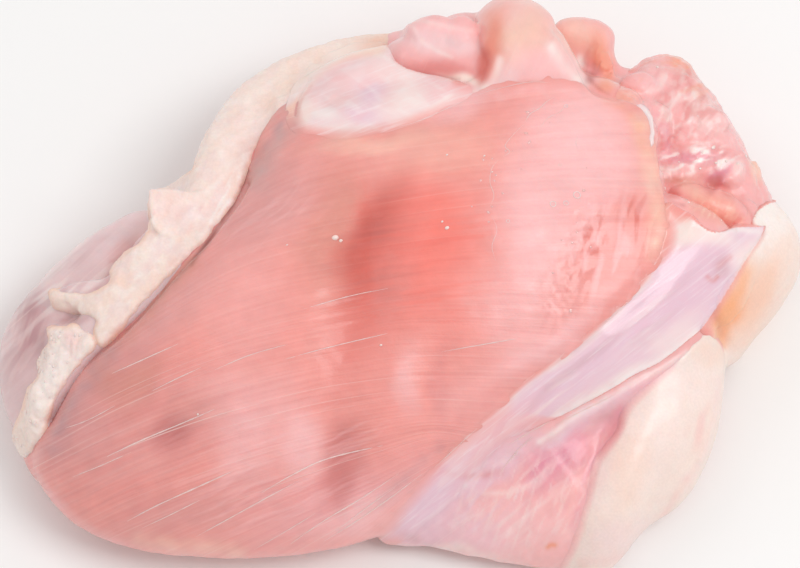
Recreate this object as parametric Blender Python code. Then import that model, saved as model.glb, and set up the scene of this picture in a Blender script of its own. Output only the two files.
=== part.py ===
"""A raw chicken thigh with its skin pulled off, lying on its inner side with the smooth outer side up.

It is one piece of meat, so it is one solid. Each muscle, fold and fat layer is shaped as its own closed
form, the forms are joined by a Boolean union, and the seams between them are softened as the thin
membrane over the real meat softens them. Blender 4.5; lengths are metres, +Z is up, and the camera side
is -Y. Run it with: blender --background --python part.py
"""

import math

import bmesh
import bpy
import numpy as np

# Driving dimension, in metres. The points below are millimetres drawn on a thigh 130 mm from end to end,
# and MM scales them all to THIGH_LENGTH.
THIGH_LENGTH = 0.120
DRAWN_LENGTH = 130.0
MM = THIGH_LENGTH / DRAWN_LENGTH

# How finely the forms are made, how soft their seams are, and how many triangles the finished solid keeps.
RIM_STEPS = 96
DOME_STEPS = 14
ROLL_STEPS = 40
ROLL_SIDES = 28
FUSE_VOXEL = 0.9 * MM
SOFTEN_ROUNDS = 5
MOST_TRIANGLES = 11000
LEVEL_BAND = 0.08

RAW_MEAT = (0.86, 0.45, 0.43, 1.0)


def smooth_curve(points, steps, closed):
    """Points evenly spaced in parameter on a Catmull-Rom curve through the given rows."""
    rows = np.array(points, float)
    count = len(rows)
    if closed:
        padded = np.vstack([rows[-1:], rows, rows[:2]])
        spans = count
    else:
        padded = np.vstack([2 * rows[0] - rows[1], rows, 2 * rows[-1] - rows[-2]])
        spans = count - 1
    places = np.linspace(0.0, spans, steps, endpoint=not closed)
    first = np.minimum(places.astype(int), spans - 1)
    t = (places - first)[:, None]
    a, b, c, d = (padded[first + k] for k in range(4))
    return 0.5 * (
        2 * b
        + (c - a) * t
        + (2 * a - 5 * b + 4 * c - d) * t**2
        + (3 * b - a - 3 * c + d) * t**3
    )


def ring_faces(rings, sides):
    """Quads between closed rings of points, and a fan to the pole before the first ring and after the last."""
    faces = []
    first_pole = rings * sides
    last_pole = first_pole + 1
    for side in range(sides):
        after = (side + 1) % sides
        faces.append((first_pole, after, side))
        top = (rings - 1) * sides
        faces.append((last_pole, top + side, top + after))
        for ring in range(rings - 1):
            low, high = ring * sides, (ring + 1) * sides
            faces.append((low + side, low + after, high + after, high + side))
    return faces


def new_object(name, points, faces):
    """A mesh object in the scene, from points in millimetres."""
    mesh = bpy.data.meshes.new(name)
    mesh.from_pydata((np.array(points) * MM).tolist(), [], faces)
    mesh.validate()
    made = bpy.data.objects.new(name, mesh)
    bpy.context.scene.collection.objects.link(made)
    return made


def pillow(name, rim, crown, belly, fullness=0.5):
    """A rounded mass inside a closed rim of (x, y, z) points, with its top at crown and its underside at belly.

    The rim is where the mass is widest. A fullness of 0.5 gives an ellipsoid, and less a flatter top.
    """
    edge = smooth_curve(rim, RIM_STEPS, closed=True)
    if np.cross(edge[1:, :2] - edge[0, :2], np.roll(edge, -1, 0)[1:, :2] - edge[0, :2]).sum() < 0:
        edge = edge[::-1]
    rings = []
    for step in range(1, 2 * DOME_STEPS):
        angle = math.pi * (step / (2 * DOME_STEPS) - 0.5)
        reach = math.cos(angle)
        lift = (1 - reach**2) ** fullness
        pole = np.array(crown if angle > 0 else belly, float)
        ring = pole + (edge - pole) * reach
        ring[:, 2] = edge[:, 2] + (pole[2] - edge[:, 2]) * lift
        rings.append(ring)
    points = np.vstack([*rings, belly, crown])
    return new_object(name, points, ring_faces(len(rings), RIM_STEPS))


def roll(name, stations):
    """A rounded bundle along a path. A station is (x, y, z, half width, half height) of its section there."""
    path = smooth_curve(stations, ROLL_STEPS, closed=False)
    along = np.gradient(path[:, :3], axis=0)
    along /= np.linalg.norm(along, axis=1)[:, None]
    across = np.cross(along, (0.0, 0.0, 1.0))
    across /= np.linalg.norm(across, axis=1)[:, None]
    upward = np.cross(across, along)
    rings = []
    for k in range(ROLL_STEPS):
        turn = np.linspace(0.0, 2 * math.pi, ROLL_SIDES, endpoint=False)[:, None]
        side = np.cos(turn) * across[k] * path[k, 3]
        rise = np.sin(turn) * upward[k] * path[k, 4]
        rings.append(path[k, :3] + side + rise)
    # Each end closes with a round cap, whose rings shrink as they move out.
    cap_angles = np.linspace(0.0, math.pi / 2, 6)[1:-1]
    for end, out in ((0, -1), (-1, 1)):
        depth = min(path[end, 3], path[end, 4])
        middle, outward = path[end, :3], along[end] * out
        rim = rings[end] - middle
        cap = [middle + rim * math.cos(a) + outward * depth * math.sin(a) for a in cap_angles]
        rings = cap[::-1] + rings if end == 0 else rings + cap
    tips = [
        path[0, :3] - along[0] * min(path[0, 3], path[0, 4]),
        path[-1, :3] + along[-1] * min(path[-1, 3], path[-1, 4]),
    ]
    return new_object(name, np.vstack([*rings, *tips]), ring_faces(len(rings), ROLL_SIDES))


def outer_muscle():
    """The broad muscle of the outer thigh, which is most of the piece, out to the strap's lower edge."""
    rim = [
        (-58, -27, 11), (-56, -18, 13), (-47, -5, 16), (-34, 9, 18), (-24, 22, 19),
        (-11, 30, 20), (4, 33, 21), (20, 33.5, 24), (31, 31.5, 27), (38, 27, 28.5),
        (40.5, 18, 28.5), (43, 9.5, 27), (52, 6, 24), (54.5, -3, 22), (46, -13, 20.5),
        (38, -19.5, 20), (31, -23.5, 18.5), (22, -27.5, 17), (11, -34, 12.5), (0, -40, 9),
        (-11, -43.5, 8.5), (-24, -45, 8), (-40, -43.7, 8), (-50.5, -40.3, 9), (-57, -33.5, 10),
    ]  # fmt: skip
    return [pillow("outer_muscle", rim, crown=(13, 7, 38), belly=(-2, -6, -1.2))]


def back_muscle():
    """The paler muscle behind the fat seam, at the far left."""
    rim = [
        (-41, 14.5, 11), (-48, 12, 10.5), (-53.5, 8, 10), (-59, 2, 9), (-63.6, -4, 8), (-65.2, -10, 8),
        (-64.5, -18, 8), (-61.5, -24.5, 8), (-57.5, -32, 8), (-48, -32, 9), (-34, -14, 12), (-29, 6, 13),
    ]  # fmt: skip
    return [pillow("back_muscle", rim, crown=(-48, -6, 19), belly=(-46, -8, -0.4))]


def membrane_knob():
    """The round shoulder under silvery membrane, between the fat strip and the folded ends."""
    path = [(-20, 17, 20, 6, 8), (-12, 26, 20.5, 8, 9), (-1, 30, 21.5, 9, 9), (11, 31, 23, 6.5, 8)]
    return [roll("membrane_knob", path)]


def deep_muscle():
    """The muscle round the bone, which fills the middle below the folded ends."""
    rim = [
        (-26, 14, 9), (-22, 26, 9), (-14, 34, 9), (-2, 39.5, 9), (10, 42, 9), (20, 43, 10), (30, 41, 10),
        (40, 37, 10), (47, 30, 10), (50, 15, 9), (44, -2, 8), (20, -20, 8), (0, -14, 8), (-20, 0, 9),
    ]  # fmt: skip
    return [pillow("deep_muscle", rim, crown=(16, 22, 27), belly=(12, 14, -1.0))]


def fat_seam():
    """The strip of fat that lies over the seam at the back, with the torn tabs at its outer edge."""
    strip = [
        (-1, 43, 14.5, 3.5, 3), (-9, 39.5, 15.5, 5, 3.2), (-16.5, 34.5, 17.5, 6, 3.4), (-22, 27.5, 20, 6.5, 3.4),
        (-26, 19, 23, 6, 3.2), (-29.5, 12, 24.5, 5, 3), (-34, 5.5, 25, 4.6, 3), (-39, -1, 24.5, 4.6, 3),
        (-44.5, -7.5, 22.5, 4.2, 3), (-50, -15, 19.8, 4.2, 3), (-54.5, -21.5, 16.8, 3.8, 3), (-56.3, -25.5, 14.5, 2.8, 2.4),
    ]  # fmt: skip
    upper_tab = [(-30, 10.5, 22.5, 4, 2.4), (-34, 13.2, 19.8, 5, 2.4), (-38.3, 15.2, 17, 4.4, 2)]
    finger = [(-44, -6, 22.5, 2.8, 2.2), (-51, -5, 21, 2.2, 1.8), (-54.5, -5, 19.6, 1.6, 1.4)]
    lump = [(-49, -13.5, 20.5, 4, 3), (-54, -12, 18.8, 2.8, 2.4)]
    return [
        roll("fat_strip", strip),
        roll("fat_upper_tab", upper_tab),
        roll("fat_finger", finger),
        roll("fat_lump", lump),
    ]


def folded_ends():
    """The three cut muscle ends that curl up at the back."""
    left_end = [(3.5, 43, 14, 4.5, 7), (9, 43.3, 15, 5.5, 7.5), (16, 41.5, 15, 5, 7)]
    middle_end = [
        (23, 14, 28.5, 11, 5), (22, 24, 30.8, 9.5, 5.2), (20.5, 33, 30.4, 7.2, 5.4), (18.6, 39.8, 26.6, 6, 5.4),
        (17.8, 43.8, 19, 5.4, 5),
    ]  # fmt: skip
    right_end = [
        (24, 40, 16, 4, 5), (29, 43, 17, 4, 5), (33.5, 41.5, 17.5, 3.6, 5), (36, 36.5, 18, 3.2, 5), (34, 31.5, 19, 3, 4),
    ]  # fmt: skip
    return [
        roll("left_end", left_end),
        roll("middle_end", middle_end),
        roll("right_end", right_end),
    ]


def cut_face():
    """The rough red meat where the thigh was cut from the hip, with its lobes of fat and muscle ends."""
    rim = [
        (30, 34, 12), (36, 38, 13), (41.5, 40.7, 14.5), (46.5, 39.8, 14.5), (51.2, 34, 14), (56, 26.5, 13),
        (59.5, 20, 11), (62, 14.5, 10), (60, 6, 9), (44, 2, 10), (32, 12, 12), (28, 26, 12),
    ]  # fmt: skip
    body = pillow("cut_face", rim, crown=(42.5, 28.5, 26), belly=(45, 22, -0.8))
    lobes = {
        "fat_lobe_upper": [(46, 22, 20, 3, 3), (51, 24, 19, 2.6, 3)],
        "fat_lobe_outer": [(54, 21, 17, 2.8, 3), (57.5, 18, 14, 2.4, 3)],
        "fat_lobe_lower": [(44, 19, 21, 2.4, 2.5), (49, 18.5, 19.5, 2.2, 2.5)],
        "lower_tongue": [(44, 13, 20, 4, 4), (50, 12, 19, 4.5, 4), (57, 8, 17, 4, 4)],
        "inner_stub": [(41, 17, 21, 3, 3), (46, 15.5, 20.5, 2.5, 2.5)],
    }
    return [body, *(roll(name, path) for name, path in lobes.items())]


def hip_fat():
    """The yellow fat that folds over the right-hand end."""
    rim = [
        (54, 18, 9), (60, 17, 10), (64.6, 11.5, 10), (65.4, 6, 9), (63.4, 1, 8), (58.5, -5, 7), (53, -10.5, 6),
        (44, -6, 8), (44, 6, 10), (50, 14, 11),
    ]  # fmt: skip
    return [pillow("hip_fat", rim, crown=(58, 6, 20), belly=(53, 3, -0.8))]


def inner_muscle():
    """The muscle below the strap, at the front right."""
    rim = [
        (-4, -39, 4), (6, -42, 4), (17, -44.5, 4), (26, -45.3, 4), (33, -42, 5),
        (37, -30, 8), (40, -14, 10), (26, -2, 12), (2, -22, 8),
    ]  # fmt: skip
    return [pillow("inner_muscle", rim, crown=(24, -22, 18.5), belly=(20, -26, -1.0))]


def skin_fat():
    """The smooth pad of fat that was under the skin, at the front right corner."""
    rim = [
        (28.5, -45.4, 4), (33.5, -44.6, 4), (39, -38.5, 5), (45.6, -33.4, 5.5), (50, -25, 6.5), (52.2, -13, 8),
        (53, -4, 10), (40, -2, 13), (34, -13, 14), (31, -27, 11), (28, -38, 7),
    ]  # fmt: skip
    return [pillow("skin_fat", rim, crown=(42, -18, 20.5), belly=(39, -22, -0.8))]


def strap_edge():
    """The raised lower edge of the flat strap of muscle under silverskin that crosses the front right."""
    path = [
        (56, 4, 22, 2.6, 2.6), (53, -5, 21.2, 2.4, 2.6), (46, -13, 20.6, 2.2, 2.6),
        (38, -19.3, 20, 2.2, 2.4), (31, -23.3, 18.8, 2, 2.2), (22, -27.8, 17, 1.8, 2), (14, -32, 14.2, 1.2, 1.5),
    ]  # fmt: skip
    return [roll("strap_edge", path)]


def fuse(forms, name):
    """One closed solid from the overlapping forms: a Boolean union, then a soft skin over its seams."""
    parts = bpy.data.collections.new("forms")
    bpy.context.scene.collection.children.link(parts)
    whole, others = forms[0], forms[1:]
    for form in others:
        bpy.context.scene.collection.objects.unlink(form)
        parts.objects.link(form)
    union = whole.modifiers.new("union", "BOOLEAN")
    union.operation = "UNION"
    union.operand_type = "COLLECTION"
    union.collection = parts
    union.solver = "EXACT"
    skin = whole.modifiers.new("skin", "REMESH")
    skin.mode = "VOXEL"
    skin.voxel_size = FUSE_VOXEL
    soften = whole.modifiers.new("soften", "SMOOTH")
    soften.iterations = SOFTEN_ROUNDS
    apply_modifiers(whole)
    keep_outer_shell(whole)
    for form in others:
        bpy.data.objects.remove(form)
    bpy.data.collections.remove(parts)
    whole.name = whole.data.name = name
    return whole


def keep_outer_shell(target):
    """Fills what the fusing sealed in and drops loose scraps: only the largest shell of faces stays."""
    shape = bmesh.new()
    shape.from_mesh(target.data)
    unvisited = set(shape.verts)
    shells = []
    while unvisited:
        front = [unvisited.pop()]
        shell = set(front)
        while front:
            near = {edge.other_vert(vertex) for vertex in front for edge in vertex.link_edges}
            front = list(near - shell)
            shell |= near
        unvisited -= shell
        shells.append(shell)
    shells.sort(key=len)
    for scrap in shells[:-1]:
        bmesh.ops.delete(shape, geom=list(scrap), context="VERTS")
    shape.to_mesh(target.data)
    shape.free()


def apply_modifiers(target):
    """Replaces the object's mesh with what its modifiers make of it."""
    graph = bpy.context.evaluated_depsgraph_get()
    finished = bpy.data.meshes.new_from_object(target.evaluated_get(graph))
    target.modifiers.clear()
    target.data = finished


# Hollows in the upper face: (x, y, half length along X, half length along Y, depth).
HOLLOWS = {
    "over_the_bone": (-4.6, -4, 6, 15, 3.2),
    "front_dip": (-8.5, -35, 5, 6, 2.0),
    "left_dip": (-35, -30, 6, 5, 1.5),
    "beside_strap": (5, -25, 4, 8, 1.0),
    "hip_socket": (51.6, 14.7, 2.8, 2.4, 3.5),
    "under_right_end": (31.5, 29.5, 2.2, 2.6, 3.0),
}

# Seams in the upper face: (half width, depth, path of (x, y) points).
# fmt: off
SEAMS = {
    "above_strap": (1.6, 0.9, [(46, 2), (39, -9), (31, -15.5), (22, -22.5), (11, -31), (3, -37), (-3, -41)]),
    "below_knob": (2.4, 1.1, [(-12, 18.5), (-5, 19), (1, 18.5), (7, 20), (12, 24), (13.5, 31)]),
    "beside_fat": (
        1.6, 1.4,
        [(-55, -26.5), (-47, -16.5), (-39, -7.5), (-31, 3.5), (-25.5, 11), (-22, 17), (-18.3, 24), (-13, 30), (-4, 35)],
    ),
    "under_rim": (1.6, 1.5, [(36, 31), (40.5, 27), (43.3, 20), (44.8, 12), (47, 8.5)]),
}
# fmt: on

# Furrows between the muscles of the underside: (half width, depth, path of (x, y) points).
FURROWS = {
    "along_the_bone": (2.4, 1.8, [(-46, -12), (-30, -16), (-12, -15), (4, -6), (14, 10), (18, 26), (19, 36)]),
    "inner_to_outer": (2.0, 1.5, [(-12, -15), (-2, -26), (4, -40)]),
    "to_the_hip": (2.0, 1.5, [(4, -6), (22, -8), (36, -6), (54, -8)]),
    "under_the_cut": (1.8, 1.3, [(22, -8), (30, 8), (34, 24), (36, 34)]),
}


def distance_to(path, points):
    """How far each (x, y) point is from the nearest point of a smooth path."""
    line = smooth_curve(path, 80, closed=False)
    nearest = np.full(len(points), np.inf)
    for start, end in zip(line[:-1], line[1:]):
        run = end - start
        share = np.clip((points - start) @ run / (run @ run), 0.0, 1.0)
        nearest = np.minimum(nearest, np.linalg.norm(points - start - share[:, None] * run, axis=1))
    return nearest


def read_points(mesh):
    """The places of a mesh's vertices in millimetres, and their normals."""
    points = np.empty(len(mesh.vertices) * 3, np.float32)
    mesh.vertices.foreach_get("co", points)
    normals = np.empty(len(mesh.vertices) * 3, np.float32)
    mesh.vertex_normals.foreach_get("vector", normals)
    return points.reshape(-1, 3) / MM, normals.reshape(-1, 3)


def move_points(mesh, points):
    mesh.vertices.foreach_set("co", (points * MM).astype(np.float32).ravel())
    mesh.update()


def press_relief(target):
    """Pushes the upper face down in each hollow and seam, and not at all on the sides and underside."""
    points, normals = read_points(target.data)
    facing_up = np.clip(normals[:, 2], 0.0, 1.0)
    sunk = np.zeros(len(points))
    for x, y, half_x, half_y, depth in HOLLOWS.values():
        away = ((points[:, 0] - x) / half_x) ** 2 + ((points[:, 1] - y) / half_y) ** 2
        sunk += depth * np.exp(-away)
    for half_width, depth, path in SEAMS.values():
        sunk += depth * np.exp(-((distance_to(path, points[:, :2]) / half_width) ** 2))
    points[:, 2] -= sunk * facing_up
    move_points(target.data, points)


def settle_on_table(target):
    """Flattens the underside where it would be below the table, as soft meat does, but for its furrows."""
    points, normals = read_points(target.data)
    points[:, 2] = np.maximum(points[:, 2], 0.0)
    facing_down = np.clip(-normals[:, 2], 0.0, 1.0) ** 2
    for half_width, depth, path in FURROWS.values():
        away = distance_to(path, points[:, :2]) / half_width
        points[:, 2] += depth * np.exp(-(away**2)) * (away < 2.5) * facing_down
    move_points(target.data, points)


def thin_out(target):
    """Fewer, larger triangles where the surface is even."""
    mesh = target.data
    mesh.calc_loop_triangles()
    decimate = target.modifiers.new("thin_out", "DECIMATE")
    decimate.ratio = MOST_TRIANGLES / len(mesh.loop_triangles)
    decimate.use_collapse_triangulate = True
    apply_modifiers(target)


def centre_on_origin(target):
    """Puts the origin on the table under the middle of the piece, and levels what thinning left a hair off it."""
    points, _ = read_points(target.data)
    middle = (points.min(0) + points.max(0)) / 2
    points[:, :2] -= middle[:2]
    points[points[:, 2] < LEVEL_BAND, 2] = 0.0
    move_points(target.data, points)


def raw_meat():
    material = bpy.data.materials.new("raw_meat")
    material.use_nodes = True
    shader = material.node_tree.nodes["Principled BSDF"]
    shader.inputs["Base Color"].default_value = RAW_MEAT
    shader.inputs["Roughness"].default_value = 0.35
    shader.inputs["Metallic"].default_value = 0.0
    return material


def main():
    for old in list(bpy.data.objects):
        bpy.data.objects.remove(old)
    forms = [
        *outer_muscle(),
        *back_muscle(),
        *membrane_knob(),
        *deep_muscle(),
        *fat_seam(),
        *folded_ends(),
        *cut_face(),
        *hip_fat(),
        *inner_muscle(),
        *skin_fat(),
        *strap_edge(),
    ]
    thigh = fuse(forms, "chicken_thigh")
    press_relief(thigh)
    settle_on_table(thigh)
    thin_out(thigh)
    centre_on_origin(thigh)
    thigh.data.shade_smooth()
    thigh.data.materials.append(raw_meat())
    return thigh


main()
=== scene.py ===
"""The looks of a raw chicken thigh with its skin pulled off, lying outer side up on a pale table.

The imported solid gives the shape. A fine skin over it is the deep meat, and each layer of the real piece is
then laid on that in turn: the muscles, the folded ends, the cut end, the silverskin strap, the fat, the
threads of membrane and the juice. Lengths are in mm unless they go straight to Blender; places on the upper
side are named by where they show in the 800 x 568 picture.
"""

import math

import bmesh
import bpy
import numpy as np
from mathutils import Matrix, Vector
from mathutils.bvhtree import BVHTree


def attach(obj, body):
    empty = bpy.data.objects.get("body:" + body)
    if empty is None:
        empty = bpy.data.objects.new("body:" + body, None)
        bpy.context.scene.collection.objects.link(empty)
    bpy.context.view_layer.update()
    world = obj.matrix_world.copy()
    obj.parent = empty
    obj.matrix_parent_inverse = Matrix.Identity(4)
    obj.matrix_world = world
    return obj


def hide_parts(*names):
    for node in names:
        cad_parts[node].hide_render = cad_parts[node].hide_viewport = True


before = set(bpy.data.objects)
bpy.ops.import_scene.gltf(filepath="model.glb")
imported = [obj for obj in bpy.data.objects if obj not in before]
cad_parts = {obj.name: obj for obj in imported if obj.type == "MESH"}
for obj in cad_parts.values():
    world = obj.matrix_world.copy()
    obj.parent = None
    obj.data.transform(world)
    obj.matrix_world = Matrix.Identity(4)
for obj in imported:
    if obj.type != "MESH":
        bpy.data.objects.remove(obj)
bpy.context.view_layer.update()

# --- Camera ---
# A long lens looks down on the piece from the front, 65 degrees above the table. The picture's places are
# used below to say where each layer of the meat lies, so the camera comes first.

MM = 0.001
PICTURE_WIDTH, PICTURE_HEIGHT = 800, 568
SENSOR_WIDTH = 36.0
LENS = 135.0
CAMERA_ELEVATION = math.radians(65.0)
CAMERA_DISTANCE = 450.0
CAMERA_TARGET = np.array([-0.1, -1.4, 12.9])
PICTURE_MM = 0.15

toward_camera = np.array([0.0, -math.cos(CAMERA_ELEVATION), math.sin(CAMERA_ELEVATION)])
picture_up = np.array([0.0, math.sin(CAMERA_ELEVATION), math.cos(CAMERA_ELEVATION)])
picture_right = np.array([1.0, 0.0, 0.0])
camera_place = CAMERA_TARGET + toward_camera * CAMERA_DISTANCE
PIXELS_PER_SLOPE = PICTURE_WIDTH * LENS / SENSOR_WIDTH

camera_data = bpy.data.cameras.new("camera")
camera_data.lens = LENS
camera_data.sensor_width = SENSOR_WIDTH
camera_data.clip_start = 0.01
camera = bpy.data.objects.new("camera", camera_data)
camera.location = camera_place * MM
camera.rotation_euler = (math.pi / 2 - CAMERA_ELEVATION, 0.0, 0.0)
bpy.context.scene.collection.objects.link(camera)
bpy.context.scene.camera = camera


def seen_at(places):
    """Where places show in the picture, as pixels across and down."""
    away = places - camera_place
    depth = -(away @ toward_camera)
    across = PICTURE_WIDTH / 2 + PIXELS_PER_SLOPE * (away @ picture_right) / depth
    down = PICTURE_HEIGHT / 2 - PIXELS_PER_SLOPE * (away @ picture_up) / depth
    return np.stack([across, down], axis=1)

# --- Deep meat ---
# The body of the piece: soft dark leg meat that shows in every crease between the layers and over the
# whole underside, where the bone was cut out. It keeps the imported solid's shape, with its facets rounded.

DEEP_VOXEL = 0.5
SOFTEN_ROUNDS = 9
DEEP_SHRINK = 0.3
UNEVEN_HEIGHT = 0.16
UNEVEN_SIZE = 9.0


def smooth_path(points, steps, closed=False):
    """Evenly numbered places on a smooth curve through the given points."""
    rows = np.array(points, float)
    if closed:
        padded = np.vstack([rows[-1:], rows, rows[:2]])
        spans = len(rows)
    else:
        padded = np.vstack([2 * rows[0] - rows[1], rows, 2 * rows[-1] - rows[-2]])
        spans = len(rows) - 1
    along = np.linspace(0.0, spans, steps, endpoint=not closed)
    first = np.minimum(along.astype(int), spans - 1)
    t = (along - first)[:, None]
    a, b, c, d = (padded[first + k] for k in range(4))
    return 0.5 * (2 * b + (c - a) * t + (2 * a - 5 * b + 4 * c - d) * t**2 + (3 * b - a - 3 * c + d) * t**3)


def away_from(line, places):
    """How far each place is from a line of points, in the same unit as both."""
    nearest = np.full(len(places), np.inf)
    for start, end in zip(line[:-1], line[1:]):
        run = end - start
        share = np.clip((places - start) @ run / max(run @ run, 1e-9), 0.0, 1.0)
        off = places - start - share[:, None] * run
        nearest = np.minimum(nearest, (off**2).sum(1))
    return np.sqrt(nearest)


def mm_from_path(path, shown):
    """Distance from a smooth path in the picture, in mm on the meat."""
    return away_from(smooth_path(path, 5 * len(path)), shown) * PICTURE_MM


def mm_inside(outline, shown):
    """Distance inside a closed outline in the picture, in mm on the meat, and negative outside it."""
    line = smooth_path(outline, 4 * len(outline), closed=True)
    line = np.vstack([line, line[:1]])
    inside = np.zeros(len(shown), bool)
    for (ax, ay), (bx, by) in zip(line[:-1], line[1:]):
        crosses = (ay > shown[:, 1]) != (by > shown[:, 1])
        at = ax + (shown[:, 1] - ay) * (bx - ax) / (by - ay if by != ay else 1e-9)
        inside ^= crosses & (shown[:, 0] < at)
    return np.where(inside, 1.0, -1.0) * away_from(line, shown) * PICTURE_MM


def lumps(places, size, seed):
    """Smooth noise from -1 to 1, with lumps of about the given size."""
    cell = places / size
    corner = np.floor(cell).astype(np.int64)
    blend = cell - corner
    blend = blend * blend * (3 - 2 * blend)
    total = np.zeros(len(cell))
    for step in np.ndindex(*(2,) * cell.shape[1]):
        lattice = corner + step
        key = seed * 374761393 + lattice[:, 0] * 73856093 + lattice[:, 1] * 19349663
        if cell.shape[1] == 3:
            key = key + lattice[:, 2] * 83492791
        key = (key ^ (key >> 13)) * 1274126177
        key = (key ^ (key >> 16)) & 0xFFFF
        share = np.prod(np.where(step, blend, 1 - blend), axis=1)
        total += share * (key / 32767.5 - 1.0)
    return total


def ramp(values, low, high):
    """0 at low, 1 at high and an even S between. Low may be the larger of the two."""
    t = np.clip((values - low) / (high - low), 0.0, 1.0)
    return t * t * (3 - 2 * t)


def get_places(mesh):
    """A mesh's points, in mm."""
    places = np.empty(len(mesh.vertices) * 3, np.float32)
    mesh.vertices.foreach_get("co", places)
    return places.reshape(-1, 3).astype(float) / MM


def get_normals(mesh):
    """The way that each of a mesh's points faces."""
    normals = np.empty(len(mesh.vertices) * 3, np.float32)
    mesh.vertex_normals.foreach_get("vector", normals)
    return normals.reshape(-1, 3).astype(float)


def get_quads(mesh):
    """The four corners of each face of an evenly skinned mesh."""
    corners = np.empty(len(mesh.loops), np.int32)
    mesh.loops.foreach_get("vertex_index", corners)
    return corners.reshape(-1, 4)


def set_places(mesh, places):
    """Moves a mesh's points to places in mm, none of them below the table's top."""
    places = places.copy()
    places[:, 2] = np.maximum(places[:, 2], 0.0)
    mesh.vertices.foreach_set("co", (places * MM).astype(np.float32).ravel())
    mesh.update()


def apply_modifiers(piece):
    """Turns what the modifiers make of a piece into its plain mesh."""
    graph = bpy.context.evaluated_depsgraph_get()
    finished = bpy.data.meshes.new_from_object(piece.evaluated_get(graph))
    finished.name = piece.name
    piece.modifiers.clear()
    piece.data = finished


def new_piece(name, mesh):
    """Puts a mesh in the scene as a piece."""
    piece = bpy.data.objects.new(name, mesh)
    bpy.context.scene.collection.objects.link(piece)
    return piece


def skin_over(piece, voxel, rounds):
    """Gives a closed piece one fine even skin, and softens it."""
    skin = piece.modifiers.new("skin", "REMESH")
    skin.mode = "VOXEL"
    skin.voxel_size = voxel * MM
    soften = piece.modifiers.new("soften", "SMOOTH")
    soften.iterations = rounds
    apply_modifiers(piece)


def linear(hex_colour):
    """An sRGB hex colour as linear red, green and blue."""
    parts = [int(hex_colour[k : k + 2], 16) / 255 for k in (1, 3, 5)]
    return tuple(c / 12.92 if c <= 0.04045 else ((c + 0.055) / 1.055) ** 2.4 for c in parts)


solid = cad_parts["chicken_thigh"].data.copy()
merged = bmesh.new()
merged.from_mesh(solid)
bmesh.ops.remove_doubles(merged, verts=merged.verts, dist=1e-6)
merged.to_mesh(solid)
merged.free()
solid.materials.clear()
deep_meat = new_piece("deep_meat", solid)
skin_over(deep_meat, DEEP_VOXEL, SOFTEN_ROUNDS)

# Pushes that move part of the surface bodily: (place in the picture, how far it reaches in mm,
# mm right, mm up the picture, mm toward the camera).
PUSHES = {
    "upper_tab_down": ((172, 180), 2.6, 0.6, -2.6, -0.6),
    "crest_up": ((684, 66), 3.5, 0.4, 0.5, 0.0),
    "hook_in": ((622, 50), 2.4, -2.0, -0.6, 0.0),
    "notch_down": ((627, 60), 2.2, -0.5, -2.4, 0.0),
    "block_top_down": ((436, 12), 3.4, 0.2, -1.3, 0.0),
    "block_left_in": ((388, 38), 2.4, 2.2, -0.2, 0.0),
}

# Creases where one muscle, fold or fat layer meets the next: (depth mm, half width mm, path).
CREASES = {
    "beside_fat": (1.0, 0.6, [(48, 420), (60, 398), (76, 372), (100, 349), (129, 323), (162, 286),
                              (182, 264), (203, 243), (218, 224), (235, 202), (246, 182)]),
    "under_left_end": (0.9, 0.8, [(394, 58), (402, 64), (424, 71), (446, 75), (464, 79), (478, 72)]),
    "left_of_finger": (0.45, 0.6, [(478, 26), (482, 44), (487, 60), (484, 76), (476, 88)]),
    "right_of_finger": (0.8, 0.9, [(553, 28), (566, 48), (580, 70), (596, 88), (618, 98)]),
    "under_rim": (0.3, 0.8, [(622, 96), (646, 106), (657, 122), (660, 150), (664, 172), (668, 196),
                             (672, 206)]),
    "under_strap": (0.25, 0.9, [(712, 322), (690, 344), (661, 366), (634, 380), (608, 396), (582, 409),
                                (555, 422)]),
    "beside_pad": (0.12, 0.8, [(684, 352), (658, 374), (637, 393), (621, 412), (613, 432), (595, 450),
                               (586, 472), (580, 497), (573, 522), (565, 548)]),
    "above_stub": (0.3, 0.7, [(664, 190), (682, 186), (700, 184), (722, 192), (745, 202)]),
    "orange_notch": (0.3, 1.2, [(712, 318), (718, 332), (722, 346)]),
    "hook_hollow": (0.4, 1.0, [(586, 66), (591, 78), (596, 86)]),
}

# Swellings and dips: (height mm, half length mm across, half length mm down, middle of it).
SWELLS = {
    "left_bulge": (0.6, 9.0, 12.0, (245, 330)),
    "trough": (-0.5, 4.0, 10.0, (364, 262)),
    "trough_foot": (-0.6, 4.0, 12.0, (346, 420)),
    "front_dimple": (-0.6, 4.5, 5.0, (346, 478)),
    "left_dimple": (-0.5, 5.0, 4.5, (172, 432)),
    "middle_ridge": (0.25, 4.0, 10.0, (410, 375)),
    "middle_dip": (-0.4, 3.0, 8.0, (440, 390)),
    "block_fill": (2.0, 5.4, 1.0, (438, 46)),
    "block_fill_right": (1.2, 1.6, 1.4, (470, 50)),
    "beside_rim": (1.8, 1.6, 4.5, (650, 122)),
    "beside_rim_top": (1.2, 2.4, 1.8, (634, 96)),
    "hip_pit_fill": (2.2, 1.9, 1.7, (724, 180)),
    "stub_hollow_fill": (1.6, 2.2, 1.6, (672, 176)),
    "cut_mound": (0.6, 5.0, 5.0, (700, 110)),
    "beside_knob": (1.1, 1.9, 2.4, (284, 116)),
    "beside_knob_low": (1.1, 1.9, 2.6, (270, 140)),
}

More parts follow.
